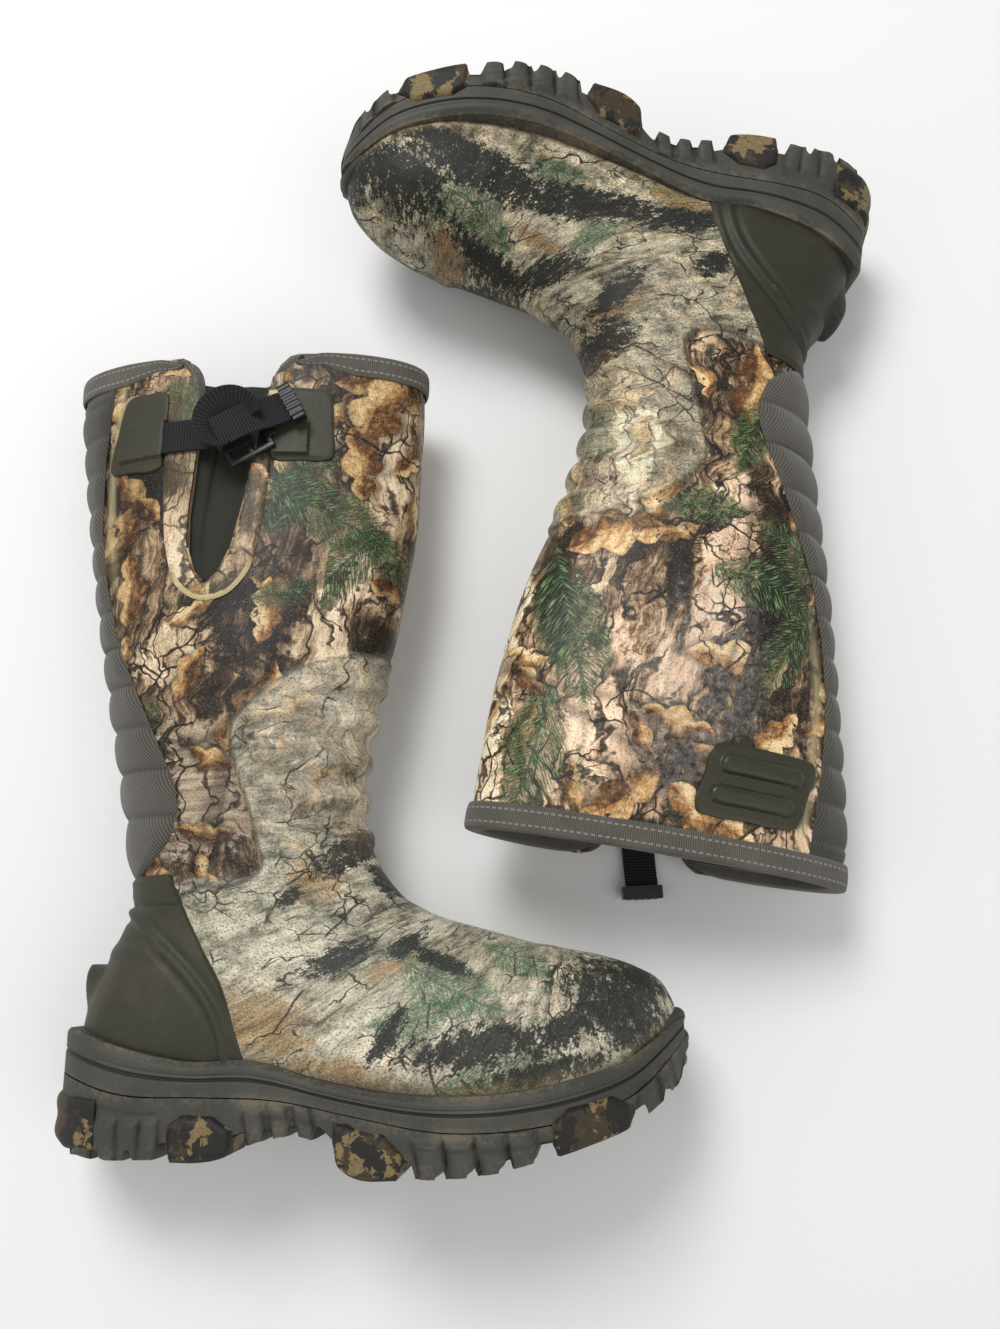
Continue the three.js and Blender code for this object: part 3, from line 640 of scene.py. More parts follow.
BARK = ((0.0, (0.010, 0.007, 0.005)), (0.30, (0.045, 0.030, 0.018)), (0.46, (0.125, 0.085, 0.052)),
        (0.62, (0.27, 0.20, 0.128)), (0.80, (0.42, 0.335, 0.235)), (1.0, (0.58, 0.49, 0.37)))
LEAF = ((0.0, (0.040, 0.020, 0.009)), (0.30, (0.110, 0.058, 0.024)), (0.55, (0.25, 0.145, 0.062)),
        (0.8, (0.37, 0.255, 0.130)), (1.0, (0.47, 0.375, 0.235)))
PINE = ((0.0, (0.018, 0.032, 0.015)), (0.5, (0.050, 0.090, 0.038)), (1.0, (0.180, 0.235, 0.120)))
SHADE = (0.012, 0.009, 0.006)

# Motifs put where they catch the eye, in side view: x, y and half length in millimetres, and turn in degrees.
LEAVES = {
    "right": [(10, 328, 30, 65), (22, 300, 24, 95), (103, 284, 20, 80), (62, 250, 18, 60), (160, 405, 34, 70),
              (18, 262, 15, 80), (150, 372, 24, 100), (120, 232, 16, 20)],
    "left": [(64, 168, 30, 95), (128, 272, 30, 20), (60, 418, 30, 150), (108, 415, 26, 35), (24, 232, 20, 70),
             (30, 372, 22, 60), (84, 372, 22, 170)],
}
BOUGHS = {
    "right": [(136, 342, 42, -20), (112, 296, 20, 20), (56, 412, 22, 60), (166, 318, 18, -60)],
    "left": [(58, 196, 32, 78), (84, 250, 26, 10), (20, 266, 36, -25), (26, 322, 30, 60), (146, 328, 46, 100),
             (158, 398, 40, 75)],
}
WOOD = {
    "right": [(130, 268, 46, 15, 38), (72, 205, 44, 24, 5), (52, 262, 30, 18, 0), (146, 300, 30, 12, 60)],
    "left": [(66, 275, 17, 66, 4), (128, 365, 16, 46, -6), (120, 225, 14, 50, 20), (84, 340, 14, 46, 2)],
}
GLOOM = {
    "right": [(20, 362, 34, 14, 5), (114, 366, 16, 24, 0), (76, 292, 26, 9, 10), (160, 268, 12, 26, 30)],
    "left": [(160, 300, 10, 50, 12), (40, 285, 8, 44, 0), (92, 300, 8, 40, 6), (110, 430, 44, 6, 0),
             (30, 190, 14, 20, 0)],
}


def blob(x, y, x0, y0, long, short, angle):
    """1 at the middle of an ellipse in side view, 0 at its edge, in millimetres and degrees."""
    c, s = math.cos(math.radians(angle)), math.sin(math.radians(angle))
    dx, dy = x - x0 * MM, y - y0 * MM
    a = (dx * c + dy * s) / (long * MM)
    b = (dy * c - dx * s) / (short * MM)
    return 1 - (a * a + b * b)


def most_of(values):
    found = None
    for value in values:
        found = value if found is None else found.most(value)
    return found


def forest_layers(look, at, place, side, seed):
    """The print's colour, from the map of the rubber and the map of side view, in metres."""
    x, y, _ = look.split(at)
    px, py, _ = look.split(place)
    warp = look.noise(at, 20.0, 4.0, 0.6)
    ragged = look.noise(at, 95.0, 5.0, 0.72)
    fibre = look.noise(look.vector(x * 330.0 + warp * 9.0, y * 30.0 + seed), 1.0, 6.0, 0.78)
    fields = look.noise(look.vector(x * 11.0, y * 8.0 + seed), 1.0, 3.0, 0.6, 0.9)
    plates = look.cells(look.vector(x * 30.0 + warp * 2.0, y * 8.0 + seed + warp * 1.5), out=1)
    tone = look.split(plates)[0]
    level = (fibre - 0.5) * 1.5 + (tone - 0.5) * 0.42 + (fields - 0.5) * 1.3 + (ragged - 0.5) * 0.9 + 0.60
    # Wood and gloom where the print has them.
    wood = most_of([blob(px, py, *w) for w in WOOD[side]]).most(-1.0)
    gloom = most_of([blob(px, py, *g) for g in GLOOM[side]]).most(-1.0)
    level = level + (wood + (ragged - 0.5) * 2.6).step(-0.2, 0.5) * 0.28
    level = level - (gloom + (ragged - 0.5) * 3.4).step(-0.3, 0.6) * 0.42
    colour = look.ramp(level, *BARK)
    # The pale plates are pinkish or grey by turns.
    colour = look.mix(look.split(plates)[1].step(0.62, 0.66) * level.step(0.5, 0.8) * 0.5,
                      colour, (0.45, 0.32, 0.25))
    # Layered stone round the ankle.
    if side == "right":
        layers = look.noise(look.vector(px * 22.0 + warp * 1.5, py * 210.0 + warp * 3.0), 1.0, 5.0, 0.72)
        stone = look.ramp(layers * 1.5 - 0.25, (0.15, (0.055, 0.043, 0.030)), (0.42, (0.23, 0.185, 0.135)),
                          (0.7, (0.42, 0.36, 0.275)))
        here = (blob(px, py, 62, 186, 46, 44, 0) + (ragged - 0.5) * 2.0).step(0.1, 0.35)
        colour = look.mix(here * 0.9, colour, stone)
    # Dark splits between plates, and short cross cracks.
    gaps = look.borders(look.vector(x * 52.0 + warp * 5.0, y * 11.0 + seed + ragged * 0.4))
    split = gaps.step(0.11, 0.02) * look.noise(at, 26.0, 2.0).step(0.40, 0.50)
    colour = look.mix(split * 0.86, colour, SHADE)
    cross = look.borders(look.vector(x * 60.0 + ragged * 2.0, y * 75.0 + warp * 6.0))
    cross = cross.step(0.07, 0.02) * look.noise(at, 34.0 + seed, 2.0).step(0.52, 0.60)
    colour = look.mix(cross * 0.8, colour, SHADE)
    # Fine scrub and twigs: straight-sided cells give straight twigs that fork.
    for across, up, wide, low, shift in ((21.0, 17.0, 0.022, 0.47, 1.7), (44.0, 36.0, 0.034, 0.50, 5.1),
                                         (85.0, 70.0, 0.050, 0.54, 9.3)):
        bend = look.vector(x * across + warp * 1.3 + shift, y * up - warp * 1.1 + seed)
        border = look.borders(bend)
        shown = look.noise(look.vector(x + shift, y), 16.0, 2.0).step(low, low + 0.05)
        colour = look.mix(border.step(wide, wide * 0.5) * shown * 0.92, colour, (0.016, 0.011, 0.008))
    # Leaves by chance, then leaves where the eye falls.
    spots = []
    for per_metre, shift, share in ((19.0, 3.1, 0.24), (31.0, 7.7, 0.30)):
        lx, ly, chance, kind = look.scatter(at, per_metre, shift + seed)
        mask, shadow, shade = look.leaf(lx * 2.0, ly * 2.0 + ragged * 0.16 - 0.08, kind * 6.0)
        here = kind < share
        spots.append((mask * here, shadow * here, shade, chance))
    for n, (x0, y0, size, angle) in enumerate(LEAVES[side]):
        lx, ly = look.placed(place, x0 * MM, y0 * MM, math.radians(angle), size * MM)
        mask, shadow, shade = look.leaf(lx, ly + ragged * 0.22 - 0.11, 1.3 * n, 4.0 + n % 3, 0.46)
        spots.append((mask, shadow, shade, (n * 0.37) % 1))
    mottle = look.noise(at, 230.0, 4.0, 0.7)
    for mask, shadow, shade, chance in spots:
        colour = look.mix(shadow * 0.5, colour, SHADE)
        leaf = look.ramp(shade * 0.86 + chance * 0.34 + (mottle - 0.5) * 1.5 + (fibre - 0.5) * 0.5 - 0.16,
                         *LEAF)
        colour = look.mix(mask * (ragged + (mottle - 0.5) * 0.3).step(0.64, 0.56), colour, leaf)
    bend = look.vector(x * 26.0 + warp * 1.6 + 3.0, y * 21.0 + warp * 1.2 + seed)
    border = look.borders(bend)
    shown = look.noise(look.vector(x + 7.3, y), 19.0, 2.0).step(0.50, 0.55)
    colour = look.mix(border.step(0.024, 0.012) * shown * 0.9, colour, (0.016, 0.011, 0.008))
    # Boughs.
    spots = []
    for per_metre, shift, share in ((14.0, 21.0, 0.26),):
        lx, ly, chance, kind = look.scatter(at, per_metre, shift + seed)
        mask, shadow, shade = look.bough(lx * 1.9, ly * 1.9, chance)
        here = kind < share
        spots.append((mask * here, shadow * here, shade))
    for n, (x0, y0, size, angle) in enumerate(BOUGHS[side]):
        lx, ly = look.placed(place, x0 * MM, y0 * MM, math.radians(angle), size * MM)
        spots.append(look.bough(lx, ly, 0.1 + 0.13 * n, 30.0 + size * 0.5))
    for mask, shadow, shade in spots:
        colour = look.mix(shadow * 0.6, colour, (0.010, 0.014, 0.007))
        colour = look.mix(mask * 0.95, colour, look.ramp(shade + (mottle - 0.5) * 0.5, *PINE))
    # Ink speckle, dark and light.
    dots = look.noise(at, 1000.0, 2.0, 0.6)
    colour = look.mix(dots.step(0.56, 0.66) * 0.62, colour, (0.030, 0.024, 0.018))
    colour = look.mix(dots.step(0.40, 0.32) * 0.22, colour, (0.52, 0.47, 0.38))
    # Ink is strong: the darks go down and the lights go up.
    # The left boot's print gets a larger gain than the right's: painted light, the sheen on the left shaft.
    strength = {"right": 2.0, "left": 2.75}[side]
    colour = look.deepen(colour, 1.3, strength)
    if side == "left":
        # Painted glare: a speckled cool grey sheen of the light down the middle of the calf.
        painted_glare = (blob(px, py, 74, 352, 44, 74, -4) + (ragged - 0.5) * 2.2).step(-0.1, 0.9)
        colour = look.mix(painted_glare * (mottle - 0.3).step(0.0, 0.5) * 0.55, colour, (0.38, 0.37, 0.35))
    return colour


print("print separations ready")

# %% [markdown]
# ## Printed rubber
# The shaft is satin where it is clean. The foot has worn pale: the print is rubbed away in stipples, black
# bark shows at the toe and the instep, and dust sits near the sole. The `place` map holds each point's
# place on the boot in side view, so wear can be put where feet put it.


# %% Camouflage materials
OVERLAY = [(190, 268), (147, 262), (120, 252), (98, 236), (87, 222), (90, 200), (97, 180), (103, 160),
           (106, 146), (100, 141), (52, 141)]
DARK_BARK = {
    "right": [(290, 78, 32, 18, -42), (266, 70, 28, 8, 36), (222, 60, 38, 10, 10), (176, 64, 16, 6, 60),
              (148, 101, 20, 7, 22), (182, 108, 12, 5, 40), (152, 158, 22, 9, 38), (122, 132, 8, 4, 45),
              (168, 142, 12, 7, -50), (252, 48, 34, 5, 12), (300, 92, 20, 6, -35), (200, 100, 20, 4, -20)],
    "left": [(288, 80, 38, 15, -28), (240, 72, 50, 14, -8), (180, 74, 50, 11, 8), (120, 70, 30, 9, 8),
             (310, 72, 12, 20, 0), (152, 152, 20, 13, 40), (262, 60, 40, 8, -16), (190, 112, 22, 7, 18),
             (150, 122, 20, 8, 50), (226, 110, 30, 5, -18), (96, 96, 12, 8, 30)],
}


GREENS = {
    "right": [(205, 90, 34, -22), (188, 74, 24, 12), (232, 46, 34, 6), (238, 100, 20, -30)],
    "left": [(236, 96, 24, -20), (196, 62, 20, 10), (168, 92, 18, 30), (262, 92, 16, -30)],
}
TANS = {
    "right": [(112, 66, 34, 20, -25), (146, 48, 34, 8, -10), (134, 140, 16, 14, 20), (176, 96, 20, 6, 20)],
    "left": [(118, 56, 26, 14, -10), (150, 130, 22, 12, 40), (196, 100, 22, 5, -15), (250, 108, 16, 5, -20)],
}


def camo(side):
    """The print of one boot."""
    look = Forest(f"{side}_printed_rubber", specular_ior_level=0.32)
    at = look.uv()
    seed = {"right": 0.0, "left": 4.3}[side]
    place = look.uv("place")
    colour = forest_layers(look, at, place, side, seed)
    x, y, _ = look.split(place)
    ux, uy, _ = look.split(at)
    worn = look.painted("worn")
    fine = look.noise(at, 640.0, 4.0, 0.8)
    medium = look.noise(at, 75.0, 5.0, 0.7)
    broad = look.noise(at, 22.0, 3.0, 0.6)
    # The worn print: pale ground, rubbed through in stipples.
    streak = look.noise(look.vector(ux * 55.0 + broad * 2.0, uy * 170.0), 1.0, 5.0, 0.75)
    level = (medium - 0.5) * 1.6 + (streak - 0.5) * 1.5 + (broad - 0.5) * 1.2 + 0.61 + y.step(0.14, 0.19) * 0.10
    pale = look.ramp(level, (0.0, (0.030, 0.030, 0.025)), (0.32, (0.115, 0.112, 0.086)),
                     (0.55, (0.290, 0.272, 0.208)), (0.8, (0.47, 0.44, 0.345)), (1.0, (0.58, 0.55, 0.45)))
    # Some of the forest stays in it.
    pale = look.mix(((medium - 0.5) * 3.0 + (fine - 0.5) * 2.0).step(0.15, 0.6) * 0.45 + 0.10, pale, colour)
    # Tan leaves by the counter and on the instep.
    tan = most_of([blob(x, y, *t) for t in TANS[side]]).most(-1.0)
    tan = (tan * 0.6 + (medium - 0.5) * 2.8 + (fine - 0.5) * 2.6).step(0.10, 0.45)
    pale = look.mix(tan * 0.85, pale, look.ramp(streak + (fine - 0.5) * 0.6, (0.25, (0.075, 0.045, 0.020)),
                                               (0.5, (0.25, 0.165, 0.080)), (0.75, (0.44, 0.34, 0.19))))
    # Fine cracks and twigs.
    for across, up, wide, low in ((24.0, 30.0, 0.026, 0.47), (60.0, 70.0, 0.042, 0.52)):
        border = look.borders(look.vector(ux * across + broad * 2.4, uy * up - broad * 2.0))
        shown = look.noise(look.vector(ux + across, uy), 22.0, 2.0).step(low, low + 0.06)
        pale = look.mix(border.step(wide, wide * 0.45) * shown * 0.88, pale, (0.022, 0.019, 0.014))
    # Green sprays.
    for n, (x0, y0, size, angle) in enumerate(GREENS[side]):
        lx, ly = look.placed(place, x0 * MM, y0 * MM, math.radians(angle), size * MM)
        mask, shadow, shade = look.bough(lx, ly, 0.2 + 0.17 * n, 40.0)
        pale = look.mix(shadow * 0.35, pale, (0.03, 0.04, 0.03))
        pale = look.mix(mask * 0.85, pale,
                        look.ramp(shade, (0.0, (0.020, 0.050, 0.022)), (0.5, (0.075, 0.15, 0.075)),
                                  (1.0, (0.24, 0.34, 0.22))))
    # Black bark whose edge breaks up into dots.
    dark = most_of([blob(x, y, *spot) for spot in DARK_BARK[side]]).most(-1.2)
    ragged = look.noise(look.vector(ux * 120.0, uy * 170.0), 1.0, 5.0, 0.8)
    dark = (dark * 0.55 + (ragged - 0.5) * 3.4 + (fine - 0.5) * 1.9).step(-0.02, 0.16)
    pale = look.mix(dark * 0.95, pale, (0.018, 0.020, 0.019))
    # Stipple all over.
    dots = look.noise(at, 820.0, 3.0, 0.75)
    pale = look.mix(dots.step(0.52, 0.60) * 0.70, pale, (0.050, 0.050, 0.040))
    pale = look.mix(dots.step(0.42, 0.34) * 0.35 * (1 - dark * 0.4), pale, (0.56, 0.55, 0.46))
    # The left foot's worn print is made darker than the right's: painted shade.
    pale = look.deepen(pale, *{"right": (1.15, 1.75), "left": (1.45, 1.85)}[side])
    colour = look.mix(worn, colour, pale)
    edge = look.painted("edge")
    colour = look.mix(edge.step(0.45, 1.0) * (0.45 + medium * 0.7).least(1.0) * 0.8, colour, (0.028, 0.022, 0.016))
    # Dust along the welt.
    dust = look.painted("dust")
    dust = dust * (fine * 0.7 + medium * 0.6).step(0.50, 0.80)
    colour = look.mix(dust * 0.7, colour, (0.34, 0.26, 0.155))
    colour = look.mix(look.painted("cream") * 0.8, colour, (0.62, 0.52, 0.27))
    rough = 0.43 + worn * 0.12 + dust * 0.2 + (fine - 0.5) * 0.22 + (broad - 0.5) * 0.2
    height = fine * 0.30 + look.noise(at, 1500.0, 2.0) * 0.10 + medium * 0.12
    return look.finish(colour, rough, height, 0.6)


# %% [markdown]
# ## Plain rubbers, fabrics and hardware
# Each of these needs its own small-scale structure: the olive rubber has a fine leathery grain, the panel
# down the back a diagonal twill, the binding a cross rib with two rows of stitches, and webbing has ribs
# across its width.


# %% Other materials
def olive_rubber(name, glossy=0.0, strength=0.8):
    look = Look(name, specular_ior_level=0.42)
    at = look.here()
    grain = look.cells(at, dimensions="3D", scale=1100.0)
    cloud = look.noise(at, 35.0, 4.0)
    scuff = look.noise(at, 300.0, 4.0, 0.7)
    colour = look.ramp(cloud * 0.6 + grain * 0.35, (0.1, (0.026, 0.026, 0.014)), (0.5, (0.043, 0.042, 0.023)),
                       (0.9, (0.068, 0.064, 0.038)))
    colour = look.mix(scuff.step(0.60, 0.78) * cloud.step(0.45, 0.65) * 0.5, colour, (0.125, 0.11, 0.070))
    rub = look.noise(at, 16.0, 4.0, 0.7)
    colour = look.mix(rub.step(0.50, 0.68) * 0.35 + grain * 0.08, colour, (0.105, 0.092, 0.058))
    rough = 0.47 - glossy + cloud * 0.16 + (scuff - 0.5) * 0.16
    return look.finish(look.deepen(colour, 1.0, strength), rough, grain * 0.16 + scuff * 0.14, 0.6)


def sole_rubber():
    look = Look("sole_rubber", specular_ior_level=0.38)
    at = look.here()
    cloud = look.noise(at, 28.0, 4.0, 0.6)
    fine = look.noise(at, 420.0, 4.0, 0.72)
    speck = look.noise(at, 1300.0, 2.0)
    colour = look.ramp(cloud * 0.7 + fine * 0.35, (0.2, (0.030, 0.030, 0.025)), (0.5, (0.054, 0.053, 0.044)),
                       (0.85, (0.092, 0.088, 0.072)))
    dust = look.painted("dust")
    mud = dust * (cloud * 0.8 + fine * 0.6).step(0.62, 0.90)
    mud = mud.most((fine * 0.6 + speck * 0.5).step(0.66, 0.74) * 0.35)
    colour = look.mix(mud * 0.6, colour, (0.23, 0.19, 0.125))
    # Painted shade: near black in the hollows between the side ribs and in the foxing's groove.
    groove = look.painted("groove")
    colour = look.mix(groove * 0.85, colour, (0.008, 0.008, 0.007))
    return look.finish(colour, 0.60 + mud * 0.22 + (fine - 0.5) * 0.2, fine * 0.25 + speck * 0.06, 0.6)


def camo_lugs():
    """Cleats printed in tan, brown and black patches with ragged borders."""
    look = Look("printed_lugs", specular_ior_level=0.35)
    at = look.here()
    x, y, z = look.split(at)
    fine = look.noise(at, 480.0, 3.0, 0.7)
    tan = look.noise(look.vector(x * 60.0, y * 60.0, z * 38.0), 1.0, 4.0, 0.6)
    black = look.noise(look.vector(x * 75.0 + 9.0, y * 75.0, z * 50.0), 1.0, 4.0, 0.6)
    colour = look.ramp(fine, (0.3, (0.036, 0.025, 0.013)), (0.7, (0.066, 0.046, 0.024)))
    colour = look.mix((tan + (fine - 0.5) * 0.08).step(0.515, 0.535), colour,
                      look.ramp(fine, (0.3, (0.150, 0.105, 0.042)), (0.7, (0.255, 0.185, 0.080))))
    colour = look.mix((black + (fine - 0.5) * 0.08).step(0.50, 0.52), colour, (0.016, 0.015, 0.012))
    colour = look.mix(fine.step(0.62, 0.74) * 0.3, colour, (0.25, 0.20, 0.12))
    return look.finish(colour, 0.60 + (fine - 0.5) * 0.25, fine * 0.25, 0.6)


def twill():
    """Grey stretch twill. The print map runs along and across the panel, in metres."""
    look = Look("grey_twill", specular_ior_level=0.2, sheen_weight=0.25, sheen_roughness=0.5)
    at = look.uv()
    u, v, _ = look.split(at)
    rib = ((u + v * 0.62) * 900.0 * TAU / 1.9).sin() * 0.5 + 0.5
    yarn = ((u * 0.55 - v) * 1300.0 * TAU / 1.9).sin() * 0.5 + 0.5
    cloud = look.noise(at, 30.0, 3.0)
    fuzz = look.noise(at, 1400.0, 2.0)
    worn = look.painted("worn")
    colour = look.ramp(rib * 0.42 + yarn * 0.16 + cloud * 0.34 + fuzz * 0.15, (0.1, (0.036, 0.033, 0.027)),
                       (0.55, (0.098, 0.091, 0.077)), (1.0, (0.185, 0.174, 0.150)))
    # Darker where the panel's mask says: painted shade at the seams between the puffs, and darker towards the
    # collar.
    colour = look.mix(worn * 0.72, colour, (0.028, 0.026, 0.020))
    return look.finish(colour, 0.86 + fuzz * 0.1, rib * 0.32 + yarn * 0.14 + fuzz * 0.1, 0.75)


def binding_rib():
    """Grosgrain: fine ribs across the tape, with two rows of stitches. v runs across the tape, 0 to 1."""
    look = Look("binding_rib", specular_ior_level=0.22, sheen_weight=0.2)
    at = look.uv()
    u, v, _ = look.split(at)
    rib = (u * TAU / (1.15 * MM)).sin() * 0.5 + 0.5
    fuzz = look.noise(look.here(), 1500.0, 2.0)
    cloud = look.noise(look.here(), 60.0, 3.0)
    colour = look.ramp(rib * 0.5 + cloud * 0.4 + fuzz * 0.15, (0.1, (0.042, 0.038, 0.031)),
                       (0.6, (0.120, 0.110, 0.092)), (1.0, (0.195, 0.180, 0.155)))
    row = abs(v - 0.13).step(0.020, 0.012).most(abs(v - 0.30).step(0.020, 0.012))
    stitch = row * abs((u / (3.6 * MM)).fraction() - 0.5).step(0.36, 0.30)
    colour = look.mix(stitch * 0.75, colour, (0.30, 0.28, 0.235))
    return look.finish(colour, 0.85, rib * 0.3 + stitch * 0.6 + fuzz * 0.06, 0.8)


def neoprene(name):
    look = Look(name, specular_ior_level=0.3, sheen_weight=0.12)
    at = look.here()
    knit = look.cells(at, dimensions="3D", scale=1500.0)
    cloud = look.noise(at, 40.0, 3.0)
    colour = look.ramp(cloud * 0.6 + knit * 0.3, (0.1, (0.015, 0.016, 0.011)), (0.9, (0.036, 0.038, 0.027)))
    return look.finish(colour, 0.74 + knit * 0.1, knit * 0.2, 0.5)


def webbing():
    """Black ribbed webbing. u runs along it, in metres, and v across, 0 to 1."""
    look = Look("black_webbing", specular_ior_level=0.35)
    at = look.uv()
    u, v, _ = look.split(at)
    rib = abs((u * TAU / (2 * 1.7 * MM)).sin())
    yarn = (v * TAU * 11.0).sin() * 0.5 + 0.5
    fuzz = look.noise(look.here(), 1500.0, 2.0)
    colour = look.ramp(rib * 0.55 + yarn * 0.15 + fuzz * 0.35, (0.1, (0.0022, 0.0022, 0.0028)),
                       (0.6, (0.0085, 0.0085, 0.0100)), (1.0, (0.027, 0.027, 0.030)))
    return look.finish(colour, 0.62 + fuzz * 0.2, rib * 0.45 + yarn * 0.12, 0.8)


def black_plastic():
    look = Look("black_plastic", specular_ior_level=0.5)
    at = look.here()
    fine = look.noise(at, 900.0, 3.0, 0.7)
    cloud = look.noise(at, 90.0, 3.0)
    colour = look.ramp(cloud, (0.2, (0.0055, 0.0055, 0.0065)), (0.8, (0.016, 0.016, 0.018)))
    return look.finish(colour, 0.28 + fine * 0.22, fine * 0.06, 0.4)


def lining_knit():
    look = Look("lining_knit", specular_ior_level=0.15, sheen_weight=0.3)
    at = look.uv("place")
    x, y, _ = look.split(at)
    loops = (x * TAU / (2.2 * MM)).sin() * (y * TAU / (1.8 * MM)).sin() * 0.5 + 0.5
    fuzz = look.noise(look.here(), 1200.0, 3.0)
    colour = look.ramp(loops * 0.4 + fuzz * 0.6, (0.1, (0.030, 0.031, 0.023)), (0.9, (0.085, 0.086, 0.066)))
    return look.finish(colour, 0.92, loops * 0.3 + fuzz * 0.2, 0.6)


def plain(name, colour, rough, scale, metallic=0.0):
    """For what is hidden inside: one colour with its grain."""
    look = Look(name, metallic=metallic)
    grain = look.noise(look.here(), scale, 4.0, 0.6)
    dark = tuple(c * 0.7 for c in colour)
    return look.finish(look.ramp(grain, (0.3, dark), (0.7, colour)), rough + (grain - 0.5) * 0.15, grain * 0.2)


LOOKS = {
    "olive": olive_rubber("olive_rubber"),
    # A darker copy of the olive rubber, for the left counter: painted shade.
    "olive_painted_shade": olive_rubber("olive_rubber_painted_shade", 0.0, 0.55),
    "grip": olive_rubber("olive_rubber_glossy", 0.22),
    "sole": sole_rubber(),
    "lugs": camo_lugs(),
    "twill": twill(),
    "binding": binding_rib(),
    "gusset": neoprene("gusset_neoprene"),
    "webbing": webbing(),
    "plastic": black_plastic(),
    "lining": lining_knit(),
    "foam": plain("midsole_foam", (0.26, 0.26, 0.23), 0.9, 300.0),
    "board": plain("insole_board", (0.30, 0.24, 0.17), 0.85, 400.0),
    "steel": plain("shank_steel", (0.42, 0.43, 0.45), 0.35, 500.0, 1.0),
    "footbed": plain("footbed_felt", (0.075, 0.075, 0.062), 0.95, 900.0),
    "right_print": camo("right"),
    "left_print": camo("left"),
}
print(len(LOOKS), "materials")

# %% [markdown]
# ## The rubber skin
# One printed skin covers the foot and the shaft. The moulded foot reaches up the front of the ankle, a
# little thicker than the shaft, with soft ribs where it bends. All of that is relief on one surface, so it
# is added as small moves along the surface's normal before the grid is made a mesh.


# %% Relief of the skin
def row_normals(points):
    """Normals of a grid of points whose columns go round."""
    down = np.gradient(points, axis=0)
    across = np.roll(points[:, :-1], -1, axis=1) - np.roll(points[:, :-1], 1, axis=1)
    across = np.concatenate([across, across[:, :1]], axis=1)
    found = np.cross(across, down)
    found /= np.linalg.norm(found, axis=2, keepdims=True) + 1e-12
    flip = (found.reshape(-1, 3) * outward(points)).sum() < 0
    return -found if flip else found


def polyline_distance(x, y, points):
    """Distance from each point to a line in side view."""
    points = np.asarray(points, float)
    best = np.full(np.shape(x), 1e9)
    for (ax, ay), (bx, by) in zip(points, points[1:]):
        dx, dy = bx - ax, by - ay
        t = np.clip(((x - ax) * dx + (y - ay) * dy) / (dx * dx + dy * dy), 0, 1)
        best = np.minimum(best, np.hypot(x - ax - t * dx, y - ay - t * dy))
    return best


def overlay_mask(x, y):
    """1 on the moulded foot and the front of the ankle, 0 on the shaft."""
    line = path(OVERLAY, 60)
    upward = line[::-1][np.argsort(line[::-1, 1])]
    below = y < np.interp(x, [50, 100, 106], [141, 141, 146])
    border = np.interp(np.clip(y, 146, 262), upward[:, 1], upward[:, 0])
    front = (x > border) & (y < np.interp(x, [98, 120, 147, 190], [236, 252, 262, 268]))
    return np.where(below | front, 1.0, 0.0), polyline_distance(x, y, line)


def wave_noise(x, y, z, size, seed):
    """Cheap smooth noise: a few turned waves."""
    rng = np.random.default_rng(seed)
    total = np.zeros(np.shape(x))
    for _ in range(7):
        k = rng.normal(size=3)
        k *= 2 * math.pi / size / np.linalg.norm(k) * rng.uniform(0.6, 1.5)
        total += np.sin(x * k[0] + y * k[1] + z * k[2] + rng.uniform(0, 6.28))
    return total / 7


# Creases over the instep and the ball: line, height and half width.
CREASES = [([(252, 101), (238, 82), (232, 60)], 1.1, 7), ([(150, 132), (128, 112), (118, 88)], 0.9, 8),
           ([(182, 120), (160, 100), (150, 74)], 0.8, 9), ([(270, 92), (300, 70)], 0.6, 7)]
RUBBER_WALL = 2.2


def skin_relief(p, seed):
    x, y, z = p[..., 0], p[..., 1], p[..., 2]
    inside, edge = overlay_mask(x, y)
    signed = np.where(inside > 0, edge, -edge)
    lift = 1.2 * ease(signed, -0.8, 1.2) + 0.5 * bump(signed, 3.0, 3.0) - 0.5 * bump(signed, -2.0, 3.0)
    # Soft ribs across the front of the ankle.
    zone = ease(signed, 4, 14) * ease(y, 150, 168) * (1 - ease(y, 250, 262))
    rib = np.cos((y - 166 + 3 * np.sin(x / 17)) * 2 * math.pi / 21)
    lift += zone * (1.9 * np.sign(rib) * np.abs(rib) ** 0.6)
    for line, high, wide in CREASES:
        lift += high * bump(polyline_distance(x, y, path(line, 16)), 0, wide)
    lift += 0.9 * wave_noise(x, y, z, 75, seed) + 0.35 * wave_noise(x, y, z, 26, seed + 5)
    return lift, inside


NOTCH = [(44, 470), (44, 441), (50, 437.5), (54.5, 431), (57.5, 420), (60, 395), (58.5, 365), (57, 340),
         (58, 320), (62, 308), (68, 301), (75, 307), (82, 322), (88, 350), (92, 380), (97, 410), (100.5, 424),
         (104, 433), (109, 438), (116, 441), (116, 470)]


